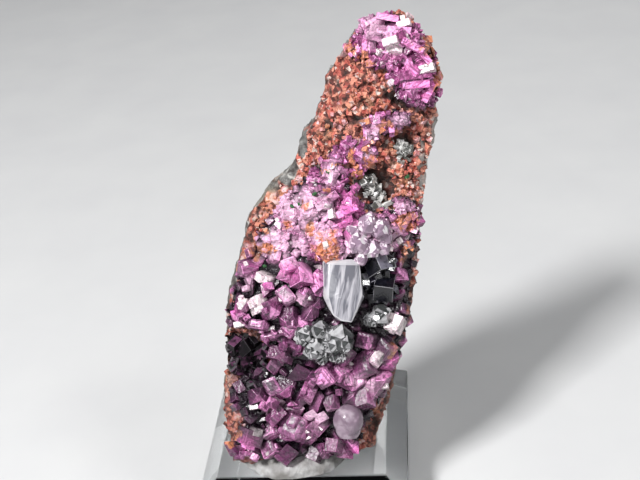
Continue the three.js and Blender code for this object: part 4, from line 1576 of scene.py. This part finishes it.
# %% The large clear crystal
LARGE_CLEAR = [
    (-2.5, -3.55, 30.5), (-1.9, -5.06, 26.5), (-0.9, -5.88, 24.5), (0.4, -6.2, 24.0),
    (1.7, -6.3, 24.1), (2.4, -5.11, 27.6), (1.4, -3.7, 31.2),
    (-3.3, -2.6, 30.4), (-2.6, -3.9, 27.4), (-1.5, -4.8, 24.9), (2.9, -4.0, 26.9), (0.4, -3.2, 31.6),
    (1.9, -3.6, 23.0), (0.2, -3.5, 22.8), (-2.3, -3.0, 25.6),
    (-2.8, -0.8, 28.0), (2.0, -0.8, 28.2), (3.0, -0.8, 25.4), (1.4, -0.8, 22.9), (-1.4, -0.8, 23.6),
]
WORN_EDGE = 0.14
FLAT_WITHIN = math.radians(9)


def make_large_clear():
    block = bmesh.new()
    for corner in LARGE_CLEAR:
        block.verts.new(corner)
    hull = bmesh.ops.convex_hull(block, input=block.verts[:])
    bmesh.ops.delete(block, geom=[g for g in hull["geom_interior"] if g.is_valid], context="VERTS")
    bmesh.ops.dissolve_limit(
        block, angle_limit=FLAT_WITHIN, verts=block.verts[:], edges=block.edges[:],
    )
    bevel_edges(block, block.edges[:], WORN_EDGE, 2)
    bmesh.ops.recalc_face_normals(block, faces=block.faces)
    # Small bevel faces get a painted highlight from the material.
    rim = block.faces.layers.float.new("rim")
    for face in block.faces:
        face[rim] = float(face.calc_area() < 1.0)
    set_facet_light(block)
    return keep_piece(block, "large_clear", VEILED, "large_clear_crystal", 30)


make_large_clear()

# %% [markdown]
# Smoky and grey crystals
#
# These are rhombs like the pink ones. The nearly black ones fill the left hollow, with plum in
# them, and stand beside the large clear crystal. The grey ones sit in two hollows of the upper
# part. Each large one carries a few small ones, so that the groups glitter in many directions.

# %% Smoky and grey crystals
SMOKY_OUT = 2.6


def make_blocks(name, node, listed, material, seed, small, sizes=(0.6, 1.3), glints=()):
    """Rhombs at given places, a number of small ones round each, and glints in front."""
    druse = new_druse()
    dice, extra = make_dice(seed), make_dice(seed + 200)
    for across, depth, height, edge in listed:
        aim = random_aim(dice, 40, 10)
        matrix = crystal_matrix(Vector((across, depth, height)), edge, 0.85, aim, math.pi * dice())
        add_crystal(druse, matrix, extra(), pick_template(extra))
        for _ in range(small):
            angle, far = 2 * math.pi * extra(), edge * (0.3 + 0.5 * extra())
            x, z = beside(across, height, angle, far)
            place = Vector((x, min(depth - 0.1 + 0.9 * extra(), rock_depth(x, z) - 0.2), z))
            lean = random_aim(extra, 60)
            size = sizes[0] + (sizes[1] - sizes[0]) * extra()
            shape = BAR if extra() > 0.75 else pick_template(extra)
            add_crystal(druse, crystal_matrix(place, size, 0.85, lean, 6 * extra()), extra(), shape)
    for across, height, edge in glints:
        add_glint(druse, across, height, edge, extra, SMOKY_OUT)
    set_facet_light(druse)
    return keep_piece(druse, name, material, node)


make_blocks("smoky_right", "dark_crystals_right", [
    (3.9, -2.3, 31.1, 2.5), (5.5, -2.3, 28.1, 2.7), (3.4, -2.2, 28.5, 1.4), (4.5, -2.0, 26.4, 1.3),
    (6.3, -1.8, 26.9, 1.2), (5.6, -2.0, 31.6, 1.2),
], SMOKY, seed=59, small=7, sizes=(0.5, 1.1), glints=[
    (2.6, 28.9, 1.2), (4.0, 30.6, 0.8), (5.7, 31.0, 0.8),
])
make_blocks("smoky_left", "dark_crystals_left", [
    (-12.2, 0.8, 14.6, 1.7), (-10.6, 1.0, 14.6, 1.9), (-8.8, 0.6, 14.8, 1.7), (-10.8, 0.9, 12.2, 1.9),
    (-8.6, 0.8, 12.4, 1.8), (-9.6, 0.7, 10.6, 1.5), (-7.6, 0.2, 11.0, 1.2),
], PLUM, seed=61, small=9)
make_blocks("grey_hollow", "grey_hollow_crystals", [
    (0.8, -0.2, 41.4, 1.3), (1.9, -0.3, 40.4, 1.3), (2.6, -0.3, 38.9, 1.2), (1.2, -0.2, 40.0, 1.1),
], GREY, seed=47, small=8, sizes=(0.4, 1.0))
make_blocks("grey_rim", "grey_rim_crystals", [
    (3.7, -0.1, 46.5, 1.0), (4.5, -0.2, 46.3, 0.9), (4.2, -0.1, 45.4, 0.9),
], GREY, seed=53, small=8, sizes=(0.35, 0.8))

# %% [markdown]
# The clear block
#
# A cube scaled to size, with its top edges bevelled by 3 mm at 45 degrees. The remaining edges
# get a hair of a bevel, because a polished edge always shows as a thin bright line.

# %% The clear block
BLOCK_WIDTH = 30
BLOCK_BEVEL = 3
POLISHED_EDGE = 0.18


def make_block():
    block = bmesh.new()
    bmesh.ops.create_cube(block, size=1.0)
    bmesh.ops.scale(block, vec=(BLOCK_WIDTH, BLOCK_WIDTH, BLOCK_HEIGHT), verts=block.verts)
    bmesh.ops.translate(block, vec=(0, 0, BLOCK_HEIGHT / 2), verts=block.verts)
    top = [e for e in block.edges if all(v.co.z > BLOCK_HEIGHT - 0.1 for v in e.verts)]
    bevel_edges(block, top, BLOCK_BEVEL)
    bevel_edges(block, block.edges[:], POLISHED_EDGE, 2)
    bmesh.ops.scale(block, vec=(MM, MM, MM), verts=block.verts)
    return keep_world_piece(block, "clear_block", ACRYLIC, "acrylic_block")


make_block()

# %% [markdown]
# The pad of tack
#
# A lump of putty pressed flat: a sphere squashed to a disc, with its lower half level on the
# block, and noise for the finger dents and the ragged rim.

# %% The pad of tack
TACK_CENTRE = Vector((-1.2, -5.0))
TACK_HALF_WIDTH = 8.6
TACK_HALF_DEPTH = 7.7
TACK_HEIGHT = 2.7


def make_tack_pad():
    pad = bmesh.new()
    bmesh.ops.create_uvsphere(pad, u_segments=96, v_segments=48, radius=1.0)
    for corner in pad.verts:
        x, y, z = corner.co
        out = math.hypot(x, y)
        wobble = 1 + 0.05 * noise.noise(Vector((x, y, 0)) * 1.6) + 0.03 * noise.noise(Vector((x, y, 3)) * 5)
        dents = 0.45 * noise.noise(Vector((x * 2.4, y * 2.4, 1))) + 0.25 * noise.noise(Vector((x, y, 2)) * 7)
        level = z ** 0.55 * (TACK_HEIGHT + dents * min(1, 2 * z)) if z > 0 else 0.0
        corner.co = Vector((
            TACK_CENTRE.x + x * TACK_HALF_WIDTH * wobble,
            TACK_CENTRE.y + y * TACK_HALF_DEPTH * wobble,
            BLOCK_HEIGHT + 0.02 + level + (0.0 if z > 0 else 0.02 * (out - 1)),
        ))
    bmesh.ops.scale(pad, vec=(MM, MM, MM), verts=pad.verts)
    return keep_world_piece(pad, "tack_pad", TACK, "mineral_tack", 80)


make_tack_pad()

# %% [markdown]
# The floor
#
# The object is shown on a plain pale floor. Small bright faces are what make crystals read, so a
# fairly small key light stands high on the left. Weaker and softer lights come from the front,
# from the right and from behind.

# %% Floor
FLOOR_DARKER = (0.60, 0.60, 0.605)
FLOOR_LIGHTER = (0.63, 0.63, 0.63)


def make_floor():
    floor = bmesh.new()
    bmesh.ops.create_grid(floor, x_segments=2, y_segments=2, size=1.2)
    material, n, shader, where = start_material("pale_floor", Roughness=0.6)
    paper = n.ramp(n.noise(where, 60.0, 4.0), (0.3, FLOOR_DARKER), (0.7, FLOOR_LIGHTER))
    n.fill(shader["Base Color"], paper)
    piece = add_object("floor", finished(floor, "floor"))
    piece.data.materials.append(material)
    piece.location.z = -0.1 * MM


make_floor()

# %% [markdown]
# Lights
#
# Each light is a small soft square that looks at the middle of the stone. The sky is a ramp from
# the horizon up, because polished faces mirror it.

# %% Lights
LIT_POINT = Vector((0.006, 0.0, 0.038))
SKY_LOW = (0.30, 0.31, 0.32)
SKY_HIGH = (0.08, 0.085, 0.09)


def add_light(name, place, power, size):
    """A square soft light that looks at the middle of the stone."""
    data = bpy.data.lights.new(name, "AREA")
    data.energy = power
    data.size = size
    lamp = add_object(name, data)
    lamp.location = place
    lamp.rotation_euler = (LIT_POINT - place).to_track_quat("-Z", "Y").to_euler()


add_light("key", KEY_PLACE, power=3.7, size=0.09)
add_light("fill", Vector((0.42, -0.28, 0.26)), power=0.15, size=0.3)
add_light("back", Vector((0.10, 0.42, 0.40)), power=0.7, size=0.25)
add_light("front", Vector((-0.05, -0.46, 0.34)), power=0.4, size=0.16)
add_light("strip", Vector((0.30, -0.10, 0.42)), power=0.5, size=0.10)
world = bpy.data.worlds.new("pale_sky")
world.use_nodes = True
sky = Nodes(world.node_tree)
direction = sky.add("TexCoord").outputs["Generated"]
height = sky.add("SeparateXYZ", {"Vector": direction}).outputs["Z"]
glow = sky.ramp(height, (0.02, SKY_LOW), (0.26, SKY_HIGH))
sky.fill(world.node_tree.nodes["Background"].inputs["Color"], glow)
bpy.context.scene.world = world
bpy.context.scene.view_settings.view_transform = "Standard"
